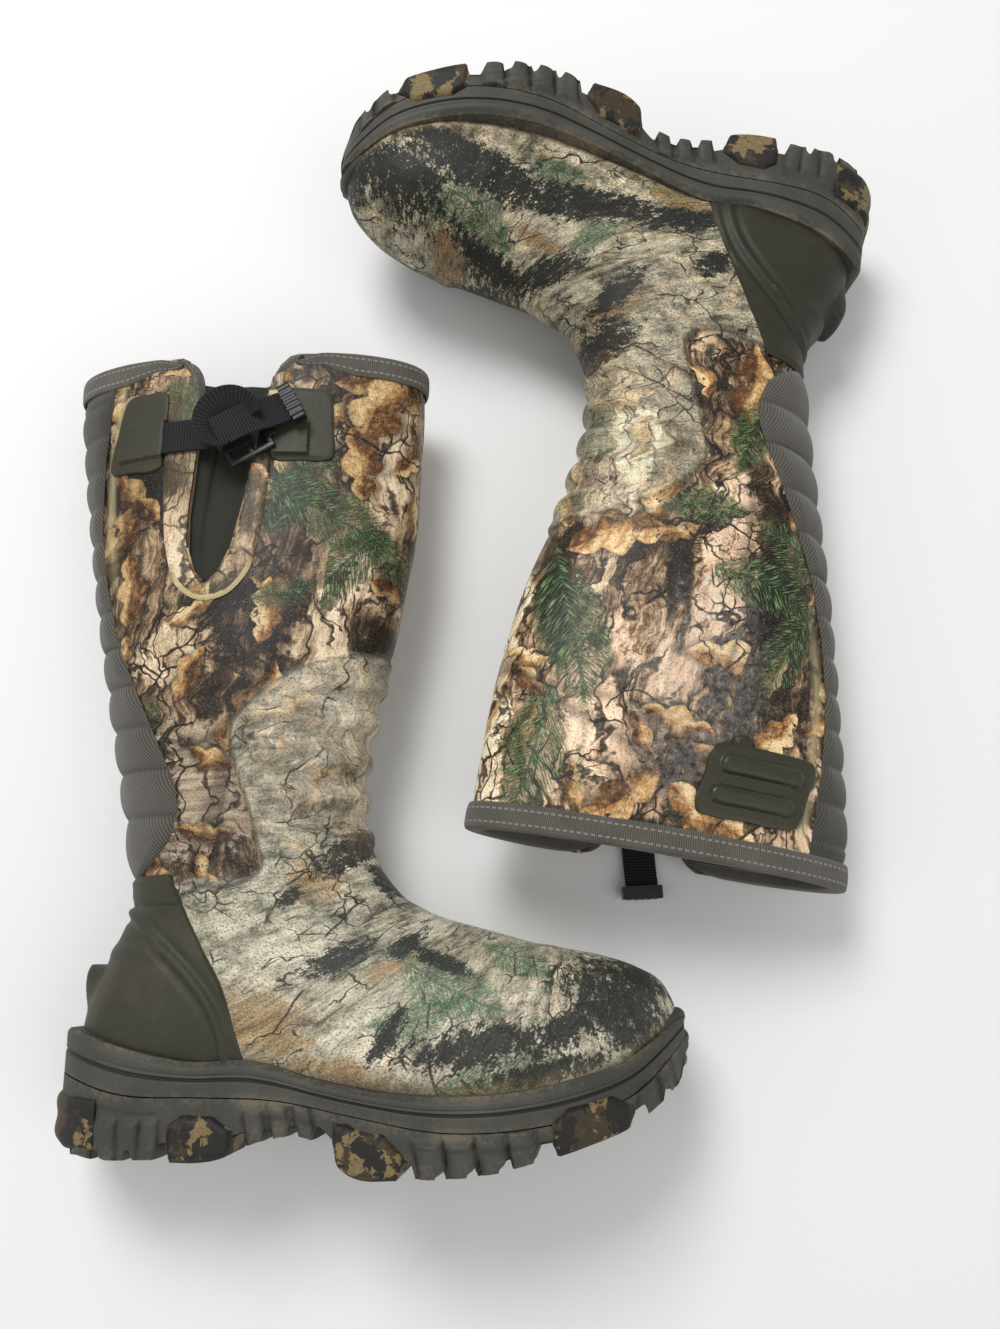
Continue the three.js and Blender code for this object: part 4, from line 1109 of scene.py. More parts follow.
def skin(side, seed):
    rings = sections(230, 150)
    ring_normals = row_normals(rings)
    lift, worn = skin_relief(rings, seed)
    toe = ease(rings[..., 0], 316, 318)
    points = rings + ring_normals * (lift * (1 - toe))[..., None]
    tip = points[-1, :-1].mean(axis=0) + np.array([1.2, 0, 0])
    closing = np.stack([tip + (points[-1] - tip) * k for k in (0.7, 0.4, 0.15, 0.0)])
    points = np.concatenate([points, closing])
    worn = np.concatenate([worn, np.ones((4, 151))])
    girth = np.concatenate([np.zeros((len(points), 1)),
                            np.cumsum(np.linalg.norm(np.diff(points, axis=1), axis=2), axis=1)], axis=1)
    centre = points[:, :-1].mean(axis=1)
    far = run_of(centre)
    uv = np.stack([girth - girth[:, -1:] / 2 + 300, np.repeat(500 - far[:, None], 151, 1)], axis=2) * MM
    obj = sheet(f"{side}_skin", side, points, uv, closed=(True, False), wall=RUBBER_WALL)
    cut(obj, cutter(side, NOTCH, 0, 90))
    give(obj, side, "worn", lambda p: ease(polyline_signed(p), -1.0, 1.0) * (1 - 0.42 * ease(p[:, 1], 146, 185)))
    give(obj, side, "dust", lambda p: bump(p[:, 1], welt_height(p[:, 0]), 9))
    give(obj, side, "edge", lambda p: bump(polyline_signed(p), 0.6, 4.2))
    give(obj, side, "cream", lambda p: 0.7 * bump(p[:, 0], panel_edge(p[:, 1]) + 6, 4.5) * ease(p[:, 1], 290, 330)
         * (0.4 + 0.6 * (wave_noise(p[:, 0], p[:, 1], p[:, 2], 30, 4) > -0.1)))
    smooth_by(obj, 40)
    return obj


def panel_edge(y):
    return np.interp(y, PANEL_EDGE[::-1, 1], PANEL_EDGE[::-1, 0])


def polyline_signed(p):
    inside, edge = overlay_mask(p[:, 0], p[:, 1])
    return np.where(inside > 0, edge, -edge)


WELT = np.array([(-20, 74), (9, 66), (45, 56), (75, 51), (104, 52), (142, 43), (175, 38), (205, 37),
                 (236, 39), (267, 45), (294, 54), (314, 68), (345, 96)], float)
FOOT = np.array([(-20, 52), (10, 45), (40, 38), (80, 37), (120, 36), (160, 30), (205, 24), (245, 26),
                 (275, 32), (300, 43), (318, 60), (345, 90)], float)
GROUND = np.array([(-20, 40), (-2, 24), (6, 10), (20, 6), (60, 5), (92, 6), (113, 14), (143, 14), (158, 2),
                   (185, 0), (211, 1), (232, 4), (251, 9), (272, 15), (298, 25), (313, 36), (325, 48),
                   (345, 66)], float)


def welt_height(x):
    return spline(WELT[:, 0], WELT[:, 1], x)


def local_of(side, obj):
    axes = np.array([PLACES[side][k] for k in range(3)])
    return (corners(obj) / MM - np.array(PLACES[side][3])) @ axes.T


def give(obj, side, name, rule):
    """Stores a number on each point of a piece for its material to read."""
    attribute = obj.data.attributes.new(name, "FLOAT", "POINT")
    values = np.asarray(rule(local_of(side, obj)), np.float32)
    attribute.data.foreach_set("value", values)


print("relief ready")

# %% [markdown]
# ## Liner, panel, binding and gusset
# Inside the skin is a thick liner of foam and knit. A padded, channel-stitched panel runs down the back
# for stretch. The collar's edge is bound with ribbed tape that turns down into the notch, and the notch is
# bridged by a folded neoprene gusset.


# %% Liner and panel
def liner(side):
    rings = sections(120, 96, 2.6)
    rings = rings[1:]
    tip = rings[-1, :-1].mean(axis=0)
    points = np.concatenate([rings, np.stack([tip + (rings[-1] - tip) * k for k in (0.5, 0.0)])])
    obj = sheet(f"{side}_liner", side, points, closed=(True, False), wall=6.2)
    wider = [(x + (-5 if x < 75 else 5 if x > 75 else 0), y - (6 if y < 310 else 0)) for x, y in NOTCH]
    cut(obj, cutter(side, wider, 0, 90))
    return obj


PANEL_EDGE = np.array([(3, 441), (1, 409), (-1, 380), (-1, 340), (5, 307), (15, 273), (26, 251), (39, 226),
                       (50, 205), (57.5, 190), (59.5, 176), (55, 161), (45, 150), (36, 143)], float)
SEAMS = [441, 419, 398, 377, 356, 335, 314, 292, 270, 247, 224, 200, 175, 143]


def panel(side):
    heights = np.linspace(143.5, 437, 210)
    edge = np.interp(heights, PANEL_EDGE[::-1, 1], PANEL_EDGE[::-1, 0])
    flat, angles = back_rows(heights, edge, 61, 0.0)
    share = angles / np.abs(angles[:, -1:])
    puff = np.zeros_like(share)
    for low, high in zip(SEAMS[1:], SEAMS):
        middle, half = (low + high) / 2, (high - low) / 2
        t = np.clip(1 - np.abs(heights - middle) / half, 0, 1)
        puff += (np.sin(t * math.pi / 2) ** 0.5 * (t > 0))[:, None] * np.ones_like(share)
    border = np.clip((1 - np.abs(share)) / 0.16, 0, 1) ** 0.5
    thick = 2.7 + 1.3 * np.interp(heights, [143, 200, 300, 440], [1, 1, 0.4, 0])[:, None]
    sag = 0.35 * wave_noise(flat[..., 0], flat[..., 1], flat[..., 2], 18, 8)
    under = 1 - ease(heights, 419, 427)[:, None]
    lift = 0.5 + under * border * (0.45 + thick * puff * 0.9 + sag * puff)
    points, _ = back_rows(heights, edge, 61, lift)
    girth = np.concatenate([np.zeros((len(points), 1)),
                            np.cumsum(np.linalg.norm(np.diff(points, axis=1), axis=2), axis=1)], axis=1)
    uv = np.stack([girth - girth[:, -1:] / 2, np.repeat(heights[:, None], 61, 1)], axis=2) * MM
    obj = sheet(f"{side}_stretch_panel", side, points, uv, wall=1.6)
    # Painted shade in the creases at the seams between the puffs, and the twill darker towards the collar.
    give(obj, side, "worn", lambda p: np.maximum(0.75 * ease(p[:, 1], 330, 420), 0.9 * seam_line(p[:, 1])))
    return obj


def seam_line(y):
    return np.max([bump(y, seam, 1.3) for seam in SEAMS[1:-1]], axis=0)


# %% Collar binding and gusset
def collar_path():
    """The edge of the collar, from the bottom of the notch up its front, round the leg, and down again."""
    front = path([(94.2, 396), (97, 410), (100.5, 424), (105, 433), (112, 438.5), (120, 440)], 30)
    rear = path([(40, 440), (47, 438.5), (53.5, 432), (57.5, 420), (59.5, 405), (59.6, 394)], 30)
    ring = sections(2, 240)[0]
    # Rings start at the back and go round by the outer side first.
    outer_half = ring[:121] if ring[30, 2] > 0 else ring[::-1][:121]
    inner_half = ring[120:] if ring[30, 2] > 0 else ring[::-1][120:]
    ahead = outer_half[outer_half[:, 0] > 124]
    behind = outer_half[outer_half[:, 0] < 36]
    line = np.concatenate([on_side(front[:, 0], front[:, 1], 0), ahead, inner_half[1:-1], behind,
                           on_side(rear[:, 0], rear[:, 1], 0)])
    return line


def binding(side):
    line = collar_path()
    far = run_of(line)
    at = np.linspace(0, far[-1], 420)
    line = np.stack([np.interp(at, far, line[:, k]) for k in range(3)], axis=1)
    for _ in range(12):
        line[1:-1] = (line[:-2] + 2 * line[1:-1] + line[2:]) / 4
    tangent = unit(np.gradient(line, axis=0))
    out = outward(line)
    out[:, 1] = 0
    out /= np.linalg.norm(out, axis=1, keepdims=True)
    for _ in range(16):
        out[1:-1] = (out[:-2] + out[1:-1] + out[2:]) / 3
    into = np.cross(out, tangent)
    level = np.abs(tangent[:, 1]) < 0.5
    if into[level][:, 1].mean() > 0:
        into = -into
    into /= np.linalg.norm(into, axis=1, keepdims=True)
    for _ in range(30):
        into[1:-1] = (into[:-2] + into[1:-1] + into[2:]) / 3
    edge = np.minimum(at, far[-1] - at)
    depth = np.interp(edge, [0, 18, 48, 76, 100], [1.6, 2.6, 4.6, 7.0, 13.0])
    thick = np.interp(edge, [0, 40, 80], [3.0, 5.5, 9.5])
    profile = [(1.0, 0.7), (0.86, 1.7), (0.5, 1.9), (0.12, 1.9), (-0.06, 1.3), (-0.12, 0.2)]
    rows = []
    for down, lift in profile:
        rows.append(line + into * (depth * down)[:, None] + out * (lift + 0.6 * ease(edge, 40, 80))[:, None])
    for down, share in ((-0.12, 0.55), (-0.05, 0.9), (0.12, 1.0), (0.5, 1.0), (1.0, 0.95)):
        rows.append(line + into * (depth * down)[:, None] - out * (thick * share)[:, None])
    points = np.stack(rows)
    v = np.linspace(0, 1, len(rows))
    uv = np.stack(np.broadcast_arrays(at[None, :] * MM, v[:, None]), axis=2)
    obj = sheet(f"{side}_binding", side, points, uv)
    finish_with(obj, "SUBSURF", levels=1, render_levels=1)
    finish_with(obj, "SOLIDIFY", thickness=1.1 * MM, offset=-1)
    return obj


def gusset(side):
    rows, columns = 70, 41
    y = np.linspace(303.5, 424, rows)
    left = np.interp(y, [301, 308, 320, 340, 365, 395, 420, 431], [67, 61, 57, 56, 57, 58.5, 56, 54])
    right = np.interp(y, [301, 307, 322, 350, 380, 410, 424, 433], [69, 76, 83, 89, 93, 98, 101.5, 104])
    s = np.linspace(0, 1, columns)
    x = left[:, None] - 3 + (right - left + 6)[:, None] * s
    yy = np.repeat(y[:, None], columns, 1)
    deep = np.interp(y, [303, 330, 380, 424], [0.3, 3.0, 6.5, 9.0])[:, None]
    fold = np.interp(s, [0, 0.08, 0.27, 0.30, 0.36, 0.62, 0.78, 0.84, 1.0],
                     [0, 0.15, 0.72, 1.15, 0.80, 0.78, 0.95, 0.72, 0.0])[None, :]
    points = on_side(x, yy, 0.0) - np.array([0, 0, 1.0]) * (3.0 + deep * fold)[..., None]
    uv = np.stack([x, yy], axis=2) * MM
    obj = sheet(f"{side}_gusset_web", side, points, uv, wall=2.0, edge=0.4)
    return obj


# %% [markdown]
# ## Pieces that lie on the shaft
# The U round the gusset, the moulded patches and the strap all follow the leg. Each is drawn flat, in side
# view, and laid on the last by rays. A patch is a disc grid, rings from its middle to its outline.


# %% Surround, patches and strap
U_OUTER = [(39, 428), (39, 394), (41, 350), (45, 319), (52, 300), (66, 291), (80, 293), (92, 305), (98, 330),
           (101, 360), (103, 394), (107, 428)]
U_INNER = [(56, 426), (59.5, 395), (58, 365), (56.5, 340), (57.5, 319), (61, 308), (68, 300), (76, 307),
           (83, 322), (88.5, 350), (92.5, 380), (100, 424)]


def surround(side):
    outer, inner = path(U_OUTER, 150), path(U_INNER, 150)
    t = np.linspace(0, 1, 17)[:, None, None]
    flat = inner[None] * (1 - t) + outer[None] * t
    lift = np.interp(t[..., 0], [0, 0.08, 0.9, 1], [0.9, 1.7, 1.7, 0.8])
    points = on_side(flat[..., 0], flat[..., 1], np.broadcast_to(lift, flat.shape[:2]))
    uv = np.stack([flat[..., 0] + 130, flat[..., 1] + 70], axis=2) * MM
    obj = sheet(f"{side}_surround", side, points, uv, wall=1.1)
    give(obj, side, "worn", lambda p: p[:, 0] * 0)
    give(obj, side, "dust", lambda p: p[:, 0] * 0)
    give(obj, side, "cream", lambda p: (polyline_distance(p[:, 0], p[:, 1], outer) < 2.6) * ease(p[:, 0], 46, 52)
         * (1 - ease(p[:, 1], 306, 318)) + 0.08)
    return obj


def disc(outline, count, rings):
    """Rings of points from the middle of an outline to its edge, (rings, count + 1, 2)."""
    edge = path(np.vstack([outline, outline[:1]]), count + 1)
    middle = np.asarray(outline, float).mean(axis=0)
    share = np.concatenate([np.linspace(0, 0.9, rings - 4), [0.95, 0.98, 0.995, 1.0]])
    return middle + (edge[None] - middle) * share[:, None, None], share


def soft_box(points, corner=0.16):
    """An outline with its corners rounded."""
    points = np.asarray(points, float)
    found = []
    for a, b, c in zip(np.roll(points, 1, 0), points, np.roll(points, -1, 0)):
        for t in (0, 0.5, 1.0):
            p, q = b + (a - b) * corner, b + (c - b) * corner
            found.append((1 - t) ** 2 * p + 2 * t * (1 - t) * b + t * t * q)
        found.append(b + (c - b) * 0.5)
    return np.array(found)


def patch(side, name, outline, outer=True, relief=None, wall=2.0):
    flat, share = disc(soft_box(outline), 128, 44)
    lift = np.repeat(np.interp(share, [0, 0.9, 0.98, 1.0], [2.4, 2.4, 2.0, 0.6])[:, None], 129, 1)
    if relief is not None:
        lift = lift + relief(flat[..., 0], flat[..., 1])
    points = on_side(flat[..., 0], flat[..., 1], lift, outer)
    return sheet(f"{side}_{name}", side, points, closed=(True, True), wall=wall)


def raised_box(x, y, box, high, soft=1.2):
    """A raised rectangle with soft edges."""
    x0, x1, y0, y1 = box
    return high * ease(x, x0 - soft, x0) * (1 - ease(x, x1, x1 + soft)) * ease(y, y0 - soft, y0) * (
        1 - ease(y, y1, y1 + soft))


def capsule(x, y, a, b, radius, high):
    """A raised rounded bar between two points."""
    far = polyline_distance(x, y, [a, b])
    return high * np.clip(1 - (far / radius) ** 4, 0, 1) ** 0.5


REAR_PATCH = [(3, 371), (13, 418), (40, 419), (39, 369)]
FRONT_PATCH = [(101, 371), (105, 417), (134, 416), (137, 372)]
GRIP_PATCH = [(2, 378), (12, 418), (71, 418), (63, 378)]


def tape(side, name, line, wide, lift, wall=1.5):
    """Webbing laid on the outer side along a line in side view."""
    line = np.asarray(line, float)
    far = run_of(line)
    at = np.linspace(0, far[-1], max(12, int(far[-1])))
    middle = np.stack([np.interp(at, far, line[:, k]) for k in range(2)], axis=1)
    way = unit(np.gradient(middle, axis=0))
    across = np.stack([-way[:, 1], way[:, 0]], axis=1)
    v = np.linspace(-0.5, 0.5, 13)
    flat = middle[None] + across[None] * (v * wide)[:, None, None]
    points = on_side(flat[..., 0], flat[..., 1], lift)
    uv = np.stack(np.broadcast_arrays(at[None, :] * MM, v[:, None] + 0.5), axis=2)
    return sheet(f"{side}_{name}", side, points, uv, wall=wall, edge=0.3)


BUCKLE = (88.0, 384.0, 45.245)  # middle of its underside
LOCK = {"length": 27, "width": 27, "thickness": 3.6, "bar": 3.4}


def at_buckle(points, turn):
    """Points drawn round the buckle's middle, turned in place on the strap."""
    c, s = math.cos(math.radians(turn)), math.sin(math.radians(turn))
    p = np.asarray(points, float)
    return np.stack([BUCKLE[0] + p[..., 0] * c - p[..., 1] * s, BUCKLE[1] + p[..., 0] * s + p[..., 1] * c,
                     BUCKLE[2] + p[..., 2]], axis=-1)


def block(side, name, middle, size, turn, bevel=0.8, cuts=0):
    """A rounded block in the buckle's frame, with grooves across it if asked."""
    bpy.ops.object.select_all(action="DESELECT")
    bpy.ops.mesh.primitive_cube_add(size=1)
    obj = bpy.context.object
    obj.name = obj.data.name = name
    if cuts:
        edit(obj, (bpy.ops.mesh.subdivide, {"number_cuts": cuts}))
    co = corners(obj)
    local = co * np.array(size)
    if cuts:
        ridge = np.cos(co[:, 1] * 2 * math.pi * 6) * 0.35
        local[:, 2] += np.where(co[:, 2] > 0.49, ridge - 0.9 * (2 * co[:, 1]) ** 2, 0)
        local[:, 0] += np.where(np.abs(co[:, 0]) > 0.49, np.sign(co[:, 0]) * (ridge - (2 * co[:, 1]) ** 4 * 0.8), 0)
    obj.data.vertices.foreach_set("co", to_world(side, at_buckle(local + np.array(middle), turn)).ravel())
    obj.data.update()
    if signed_volume(obj) < 0:
        edit(obj, (bpy.ops.mesh.flip_normals, {}))
    finish_with(obj, "BEVEL", width=bevel * MM, segments=3, limit_method="ANGLE", angle_limit=math.radians(60))
    smooth_by(obj, 45)
    return obj


def buckle(side):
    """A ladder-lock: two rails, three bars and a thumb tab."""
    long, wide, high, bar = LOCK["length"], LOCK["width"], LOCK["thickness"], LOCK["bar"]
    turn = 28
    name = f"{side}_ladder_lock"
    parts = [block(side, name, (0, k * (wide - bar) / 2, high / 2), (long, bar, high), turn) for k in (-1, 1)]
    for x, tall in ((-(long - bar) / 2, high * 0.8), (0, high), ((long - bar) / 2, high * 0.9)):
        parts.append(block(side, name, (x, 0, tall / 2), (bar, wide - bar, tall), turn, 0.9))
    parts.append(block(side, name, (long / 2 + 1.5, 0, high * 0.62), (4.5, wide * 0.55, 2.0), turn, 0.7))
    return join(*parts)


TAIL_BASE = 4.65
TAIL_REACH = 68.0
SHIFT = {"right": 3.5, "left": 0.0}  # the webbing lies a little to one side in its lock
TAILS = {
    "right": (28, [(4, 0), (-7, 0.2), (-14.5, 3.5), (-13, 8.5), (-4, 9.5), (8, 7.5), (18, 3), (28, 0)]),
    "left": (102, [(-12, 0), (6.8, 0), (20.4, 0), (34, 0), (47.6, 0), (61.2, -1.5), (TAIL_REACH, -3)]),
}


WEBBING_WIDTH, WEBBING_WALL = 19, 1.5


def tail(side):
    """The surplus webbing: folded back over the buckle, or pulled straight up past the collar."""
    turn, line = TAILS[side]
    line = path(line, 90)
    way = unit(np.gradient(line, axis=0))
    side_way = np.stack([-way[:, 1], way[:, 0]], axis=1)
    far = run_of(line)
    v = np.linspace(-0.5, 0.5, 13)
    edge = line + side_way * (WEBBING_WALL / 2)
    points = np.zeros((13, 90, 3))
    points[..., 0] = edge[None, :, 0]
    points[..., 1] = (v * WEBBING_WIDTH + SHIFT[side])[:, None]
    points[..., 2] = edge[None, :, 1] + TAIL_BASE
    uv = np.stack(np.broadcast_arrays(far[None, :] * MM, v[:, None] + 0.5), axis=2)
    obj = sheet(f"{side}_tail", side, at_buckle(points, turn), uv, smooth=60)
    # The top of the ribbon is drawn, so its thickness goes down from there.
    co = local_of(side, obj)
    normal = normals(obj) @ np.array([PLACES[side][k] for k in range(3)]).T
    start = np.argmin(np.abs(co[:, 0] - at_buckle([[line[0, 0], 0, 0]], turn)[0, 0]))
    if normal[start, 2] < 0:
        edit(obj, (bpy.ops.mesh.flip_normals, {}))
    finish_with(obj, "SOLIDIFY", thickness=WEBBING_WALL * MM, offset=-1)
    round_edges(obj, 0.3)
    return obj


def curl(side):
    """The loop that the surplus webbing makes above the lock: it stands half on its edge."""
    turn, _ = TAILS[side]
    t, v = np.linspace(0, 1, 70), np.linspace(-0.5, 0.5, 13)
    a = np.radians(250 - 265 * t)
    radial = np.stack([np.cos(a), np.sin(a), 0 * a], axis=1)
    stand = np.radians(38 - 10 * np.sin(math.pi * t))[:, None]
    across = radial * np.cos(stand) + np.array([0, 0, 1.0]) * np.sin(stand)
    radius = 9.0 + 3.0 * np.sin(math.pi * t) + 4.0 * t
    middle = np.array([-3, 7, 12.0]) + radial * radius[:, None]
    points = middle[None] + across[None] * (v * 15)[:, None, None]
    uv = np.stack(np.broadcast_arrays((t * 55)[None, :] * MM, v[:, None] + 0.5), axis=2)
    obj = sheet("curl", side, at_buckle(points, turn), uv, smooth=60)
    finish_with(obj, "SOLIDIFY", thickness=1.4 * MM, offset=0)
    round_edges(obj, 0.3)
    return obj


def stop(side):
    turn, line = TAILS[side]
    x, y = line[-1]
    return block(side, f"{side}_stop", (x + 0.3 + 4, SHIFT[side], y + TAIL_BASE), (8, 23, 6), turn, 0.5, cuts=24)


print("shaft pieces ready")

# %% [markdown]
# ## The heel counter and the sole
# The counter is a moulded cup over the heel with a curved ridge and a spur for kicking the boot off. The
# sole is a loft along the boot: at each place from heel to toe it has a closed section, and the section's
# underside follows the tread, so the cleats come out of the same grid.


# %% Counter
COUNTER_EDGE = np.array([(112, 36), (106, 46), (100, 65), (91, 85), (79, 106), (66, 129), (58, 144)], float)
RIDGE = [(28, 127), (40, 120), (58, 105), (72, 92), (82, 80), (90, 64), (93, 46)]


def counter(side):
    heights = np.concatenate([np.linspace(47, 142, 96), [143.2, 144]])
    edge = np.interp(heights, COUNTER_EDGE[:, 1], COUNTER_EDGE[:, 0])
    flat, angles = back_rows(heights, edge, 121, 0.0)
    share = np.abs(angles / np.abs(angles[:, -1:]))
    x, y, z = flat[..., 0], flat[..., 1], flat[..., 2]
    lift = 2.9 - 2.2 * ease(share, 0.965, 1.0) - 2.0 * ease(y, 141, 144)
    far = polyline_distance(x, y, path(RIDGE, 40))
    lift += 1.5 * bump(far, 0, 3.4) - 1.0 * bump(far, 4.5, 3.5)
    lift += 0.8 * ease(y, 127.5, 129.5) - 0.5 * bump(y, 128, 1.6)
    spur = ease(y, 72, 91) * (1 - ease(y, 93.5, 97)) * (1 - ease(np.abs(z), 11, 17)) * (x < 40)
    lift += 7.5 * spur + 1.0 * bump(y, 104, 6) * (x < 60)
    lift += 0.25 * wave_noise(x, y, z, 40, 3)
    points, _ = back_rows(heights, edge, 121, lift)
    return sheet(f"{side}_counter", side, points, wall=RUBBER_WALL)


# %% Sole
PLAN = [(-3, 0), (3, 23), (20, 37), (50, 43), (90, 42), (130, 44), (170, 52), (205, 57), (240, 56), (270, 48),
        (295, 34), (315, 14), (325, -8), (320, -28), (304, -43), (280, -53), (250, -59), (215, -58),
        (180, -50), (140, -42), (100, -40), (60, -42), (25, -38), (4, -24), (-3, 0)]
plan = path(PLAN, 900)
tip_at = int(np.argmax(plan[:, 0]))
PLAN_OUT = plan[: tip_at + 1]
PLAN_IN = plan[tip_at:][::-1]
X_HEEL, X_TOE = plan[:, 0].min(), plan[:, 0].max()


def plan_sides(x):
    """Outer and inner half of the sole at x."""
    out = np.interp(x, np.maximum.accumulate(PLAN_OUT[:, 0]), PLAN_OUT[:, 1])
    inner = np.interp(x, np.maximum.accumulate(PLAN_IN[:, 0]), PLAN_IN[:, 1])
    return out, inner


RUBBER_LUGS = [(14, 28), (33, 45), (50, 60), (107, 114), (120, 127), (133, 140), (192, 202), (207, 217),
               (222, 232), (238, 248), (302, 310), (314, 320)]
PRINTED = {"lug_heel": (68, 98), "lug_waist": (152, 185), "lug_toe": (258, 294)}


def line_at(line, x):
    return spline(line[:, 0], line[:, 1], x)


def sole_x(low, high, extra=()):
    """Places along the sole: fine near the round ends, and exactly at each cleat's corners."""
    turn = np.linspace(0, math.pi, 150)
    x = (X_HEEL + X_TOE) / 2 - (X_TOE - X_HEEL) / 2 * np.cos(turn)
    x = np.concatenate([x, np.linspace(X_HEEL, X_TOE, 120), np.asarray(extra, float)])
    x = np.unique(np.round(np.clip(x, low, high), 2))
    keep = np.concatenate([[True], np.diff(x) > 0.35])
    return x[keep]


def rounded_end(x, radius=9.0, least=0.35):
    """How much of its height a section keeps near the heel and toe ends."""
    near = np.clip(np.minimum(x - X_HEEL, X_TOE - x) / radius, 0, 1)
    return least + (1 - least) * np.sqrt(1 - (1 - near) ** 2)


def loft_along(name, side, x, bottom, top, margin, wall_relief=None, across=13, up=9, channel=None):
    """A closed body along the sole. bottom and top are heights at x, and margin draws the plan in."""
    out, inner = plan_sides(x)
    middle, half = (out + inner) / 2, np.maximum((out - inner) / 2 - margin, 0.4)
    share = np.linspace(-1, 1, across)
    rise = np.linspace(0, 1, up + 2)[1:-1]
    sections_found = []
    for i, xi in enumerate(x):
        base = np.full(across, bottom[i])
        if channel is not None:
            base = channel(xi, share * half[i], base)
        under = np.column_stack([np.full(across, xi), base, middle[i] + share * half[i]])
        wall_y = bottom[i] + (top[i] - bottom[i]) * rise
        out_by = np.zeros(up) if wall_relief is None else wall_relief(xi, wall_y)
        taper = min(1.0, half[i] / 12)
        wall_out = np.column_stack([np.full(up, xi), wall_y, middle[i] + half[i] + out_by * taper])
        wall_in = np.column_stack([np.full(up, xi), wall_y, middle[i] - half[i] - out_by * taper])[::-1]
        over = np.column_stack([np.full(across, xi), np.full(across, top[i]), middle[i] - share * half[i]])
        ring = np.concatenate([under, wall_out, over, wall_in])
        sections_found.append(np.concatenate([ring, ring[:1]]))
    points = np.array(sections_found)
    points = capped(points)
    return sheet(name, side, points, closed=(True, True), solid=True, smooth=38)


def tread(x):
    """How far the rubber stands below the base between cleats, 0 to 1."""
    found = np.zeros(np.shape(x))
    for low, high in RUBBER_LUGS:
        found = np.maximum(found, ease(x, low - 1.8, low + 0.2) * (1 - ease(x, high - 0.2, high + 1.8)))
    return found


RIB_ZONES = [(13, 61), (106, 141), (191, 249), (301, 321)]


def rib_zone(x):
    """1 where the wall is ribbed: there the gaps between the cleats are shallow at the side."""
    return np.max([ease(x, low - 1.5, low + 1) * (1 - ease(x, high - 1, high + 1.5)) for low, high in RIB_ZONES],
                  axis=0)


def base_height(x):
    return np.minimum(line_at(GROUND, x) + 8, line_at(FOOT, x) - 3 - 5 - 2.6)


RIBS = ((20, 6.5, 2.6), (33.5, 6.5, 2.8), (46, 6, 2.8), (57, 5, 2.4), (110.5, 5, 2.4), (123.5, 4.8, 2.4),
        (136, 4.6, 2.2), (197, 7.2, 3.2), (212, 7.2, 3.4), (227, 7.2, 3.4), (242, 7, 3.0), (306, 5.5, 2.6),
        (317, 4, 2.2))


def rib_top(centre):
    return line_at(GROUND, np.array([centre]))[0] + (21 if centre < 100 else 17 if centre < 150 else 19)


def side_ribs(x, y):
    """Relief of the sole's side wall: ribs at the heel, slanted ribs at the waist and scallops ahead."""
    found = np.zeros(len(y))
    for centre, half, high in RIBS:
        lean = (y - 20) * (0.22 if centre > 100 else 0.05)
        fade = 1 - ease(y, rib_top(centre) - 5, rib_top(centre))
        found += high * np.sqrt(np.clip(1 - ((x + lean - centre) / half) ** 2, 0, 1)) * fade
    foot = line_at(FOOT, np.array([x]))[0]
    return found - 1.0 * rib_zone(np.array([x]))[0] * (1 - ease(y, foot - 11, foot - 9))


def rib_shadow(p):
    """Painted shade in the hollows between the ribs."""
    found = np.zeros(len(p))
    for centre, half, _ in RIBS:
        lean = (p[:, 1] - 20) * (0.22 if centre > 100 else 0.05)
        for edge in (-half, half):
            found = np.maximum(found, bump(p[:, 0] + lean - centre, edge, 2.2) * (p[:, 1] < rib_top(centre) - 2))
    return found * 0.8


def tube(name, side, line, radii, around=14):
    """A round bar along a line, with a radius at each of its points."""
    way = unit(np.gradient(line, axis=0))
    up = np.array([0, 1.0, 0])
    across = np.cross(way, up)
    across /= np.linalg.norm(across, axis=1, keepdims=True)
    a = np.linspace(0, 2 * math.pi, around + 1)
    ring = np.cos(a)[None, :, None] * across[:, None] + np.sin(a)[None, :, None] * np.cross(across, way)[:, None]
    points = line[:, None] + ring * np.asarray(radii)[:, None, None]
    points = np.concatenate([np.repeat(line[:1, None], around + 1, 1), points,
                             np.repeat(line[-1:, None], around + 1, 1)])
    return sheet(name, side, points, closed=(True, True), solid=True, smooth=60)


# The toe's bars: height, set back, reach either way and radius.
TOE_BARS = [(41, 10.0, 32, 4.4), (51, 6.5, 36, 4.8), (61.5, 5.2, 36, 4.8), (72, 6.4, 32, 4.4)]


def bumper(side):
    """Four rounded bars that wrap the toe."""
    bars = []
    for height, back, reach, radius in TOE_BARS:
        line = plan[np.abs(np.arange(len(plan)) - tip_at) < reach * 1.15]
        middle = np.array([268.0, -10.0])
        way = middle - line
        way /= np.linalg.norm(way, axis=1, keepdims=True)
        line = line + way * back
        t = np.linspace(-1, 1, len(line))
        lift = height - 10 * t ** 2 * (height > 50)
        points = np.column_stack([line[:, 0], lift, line[:, 1]])
        bars.append(tube("bar", side, points, radius * (1 - t ** 4) ** 0.5 + 0.2))
    return bars


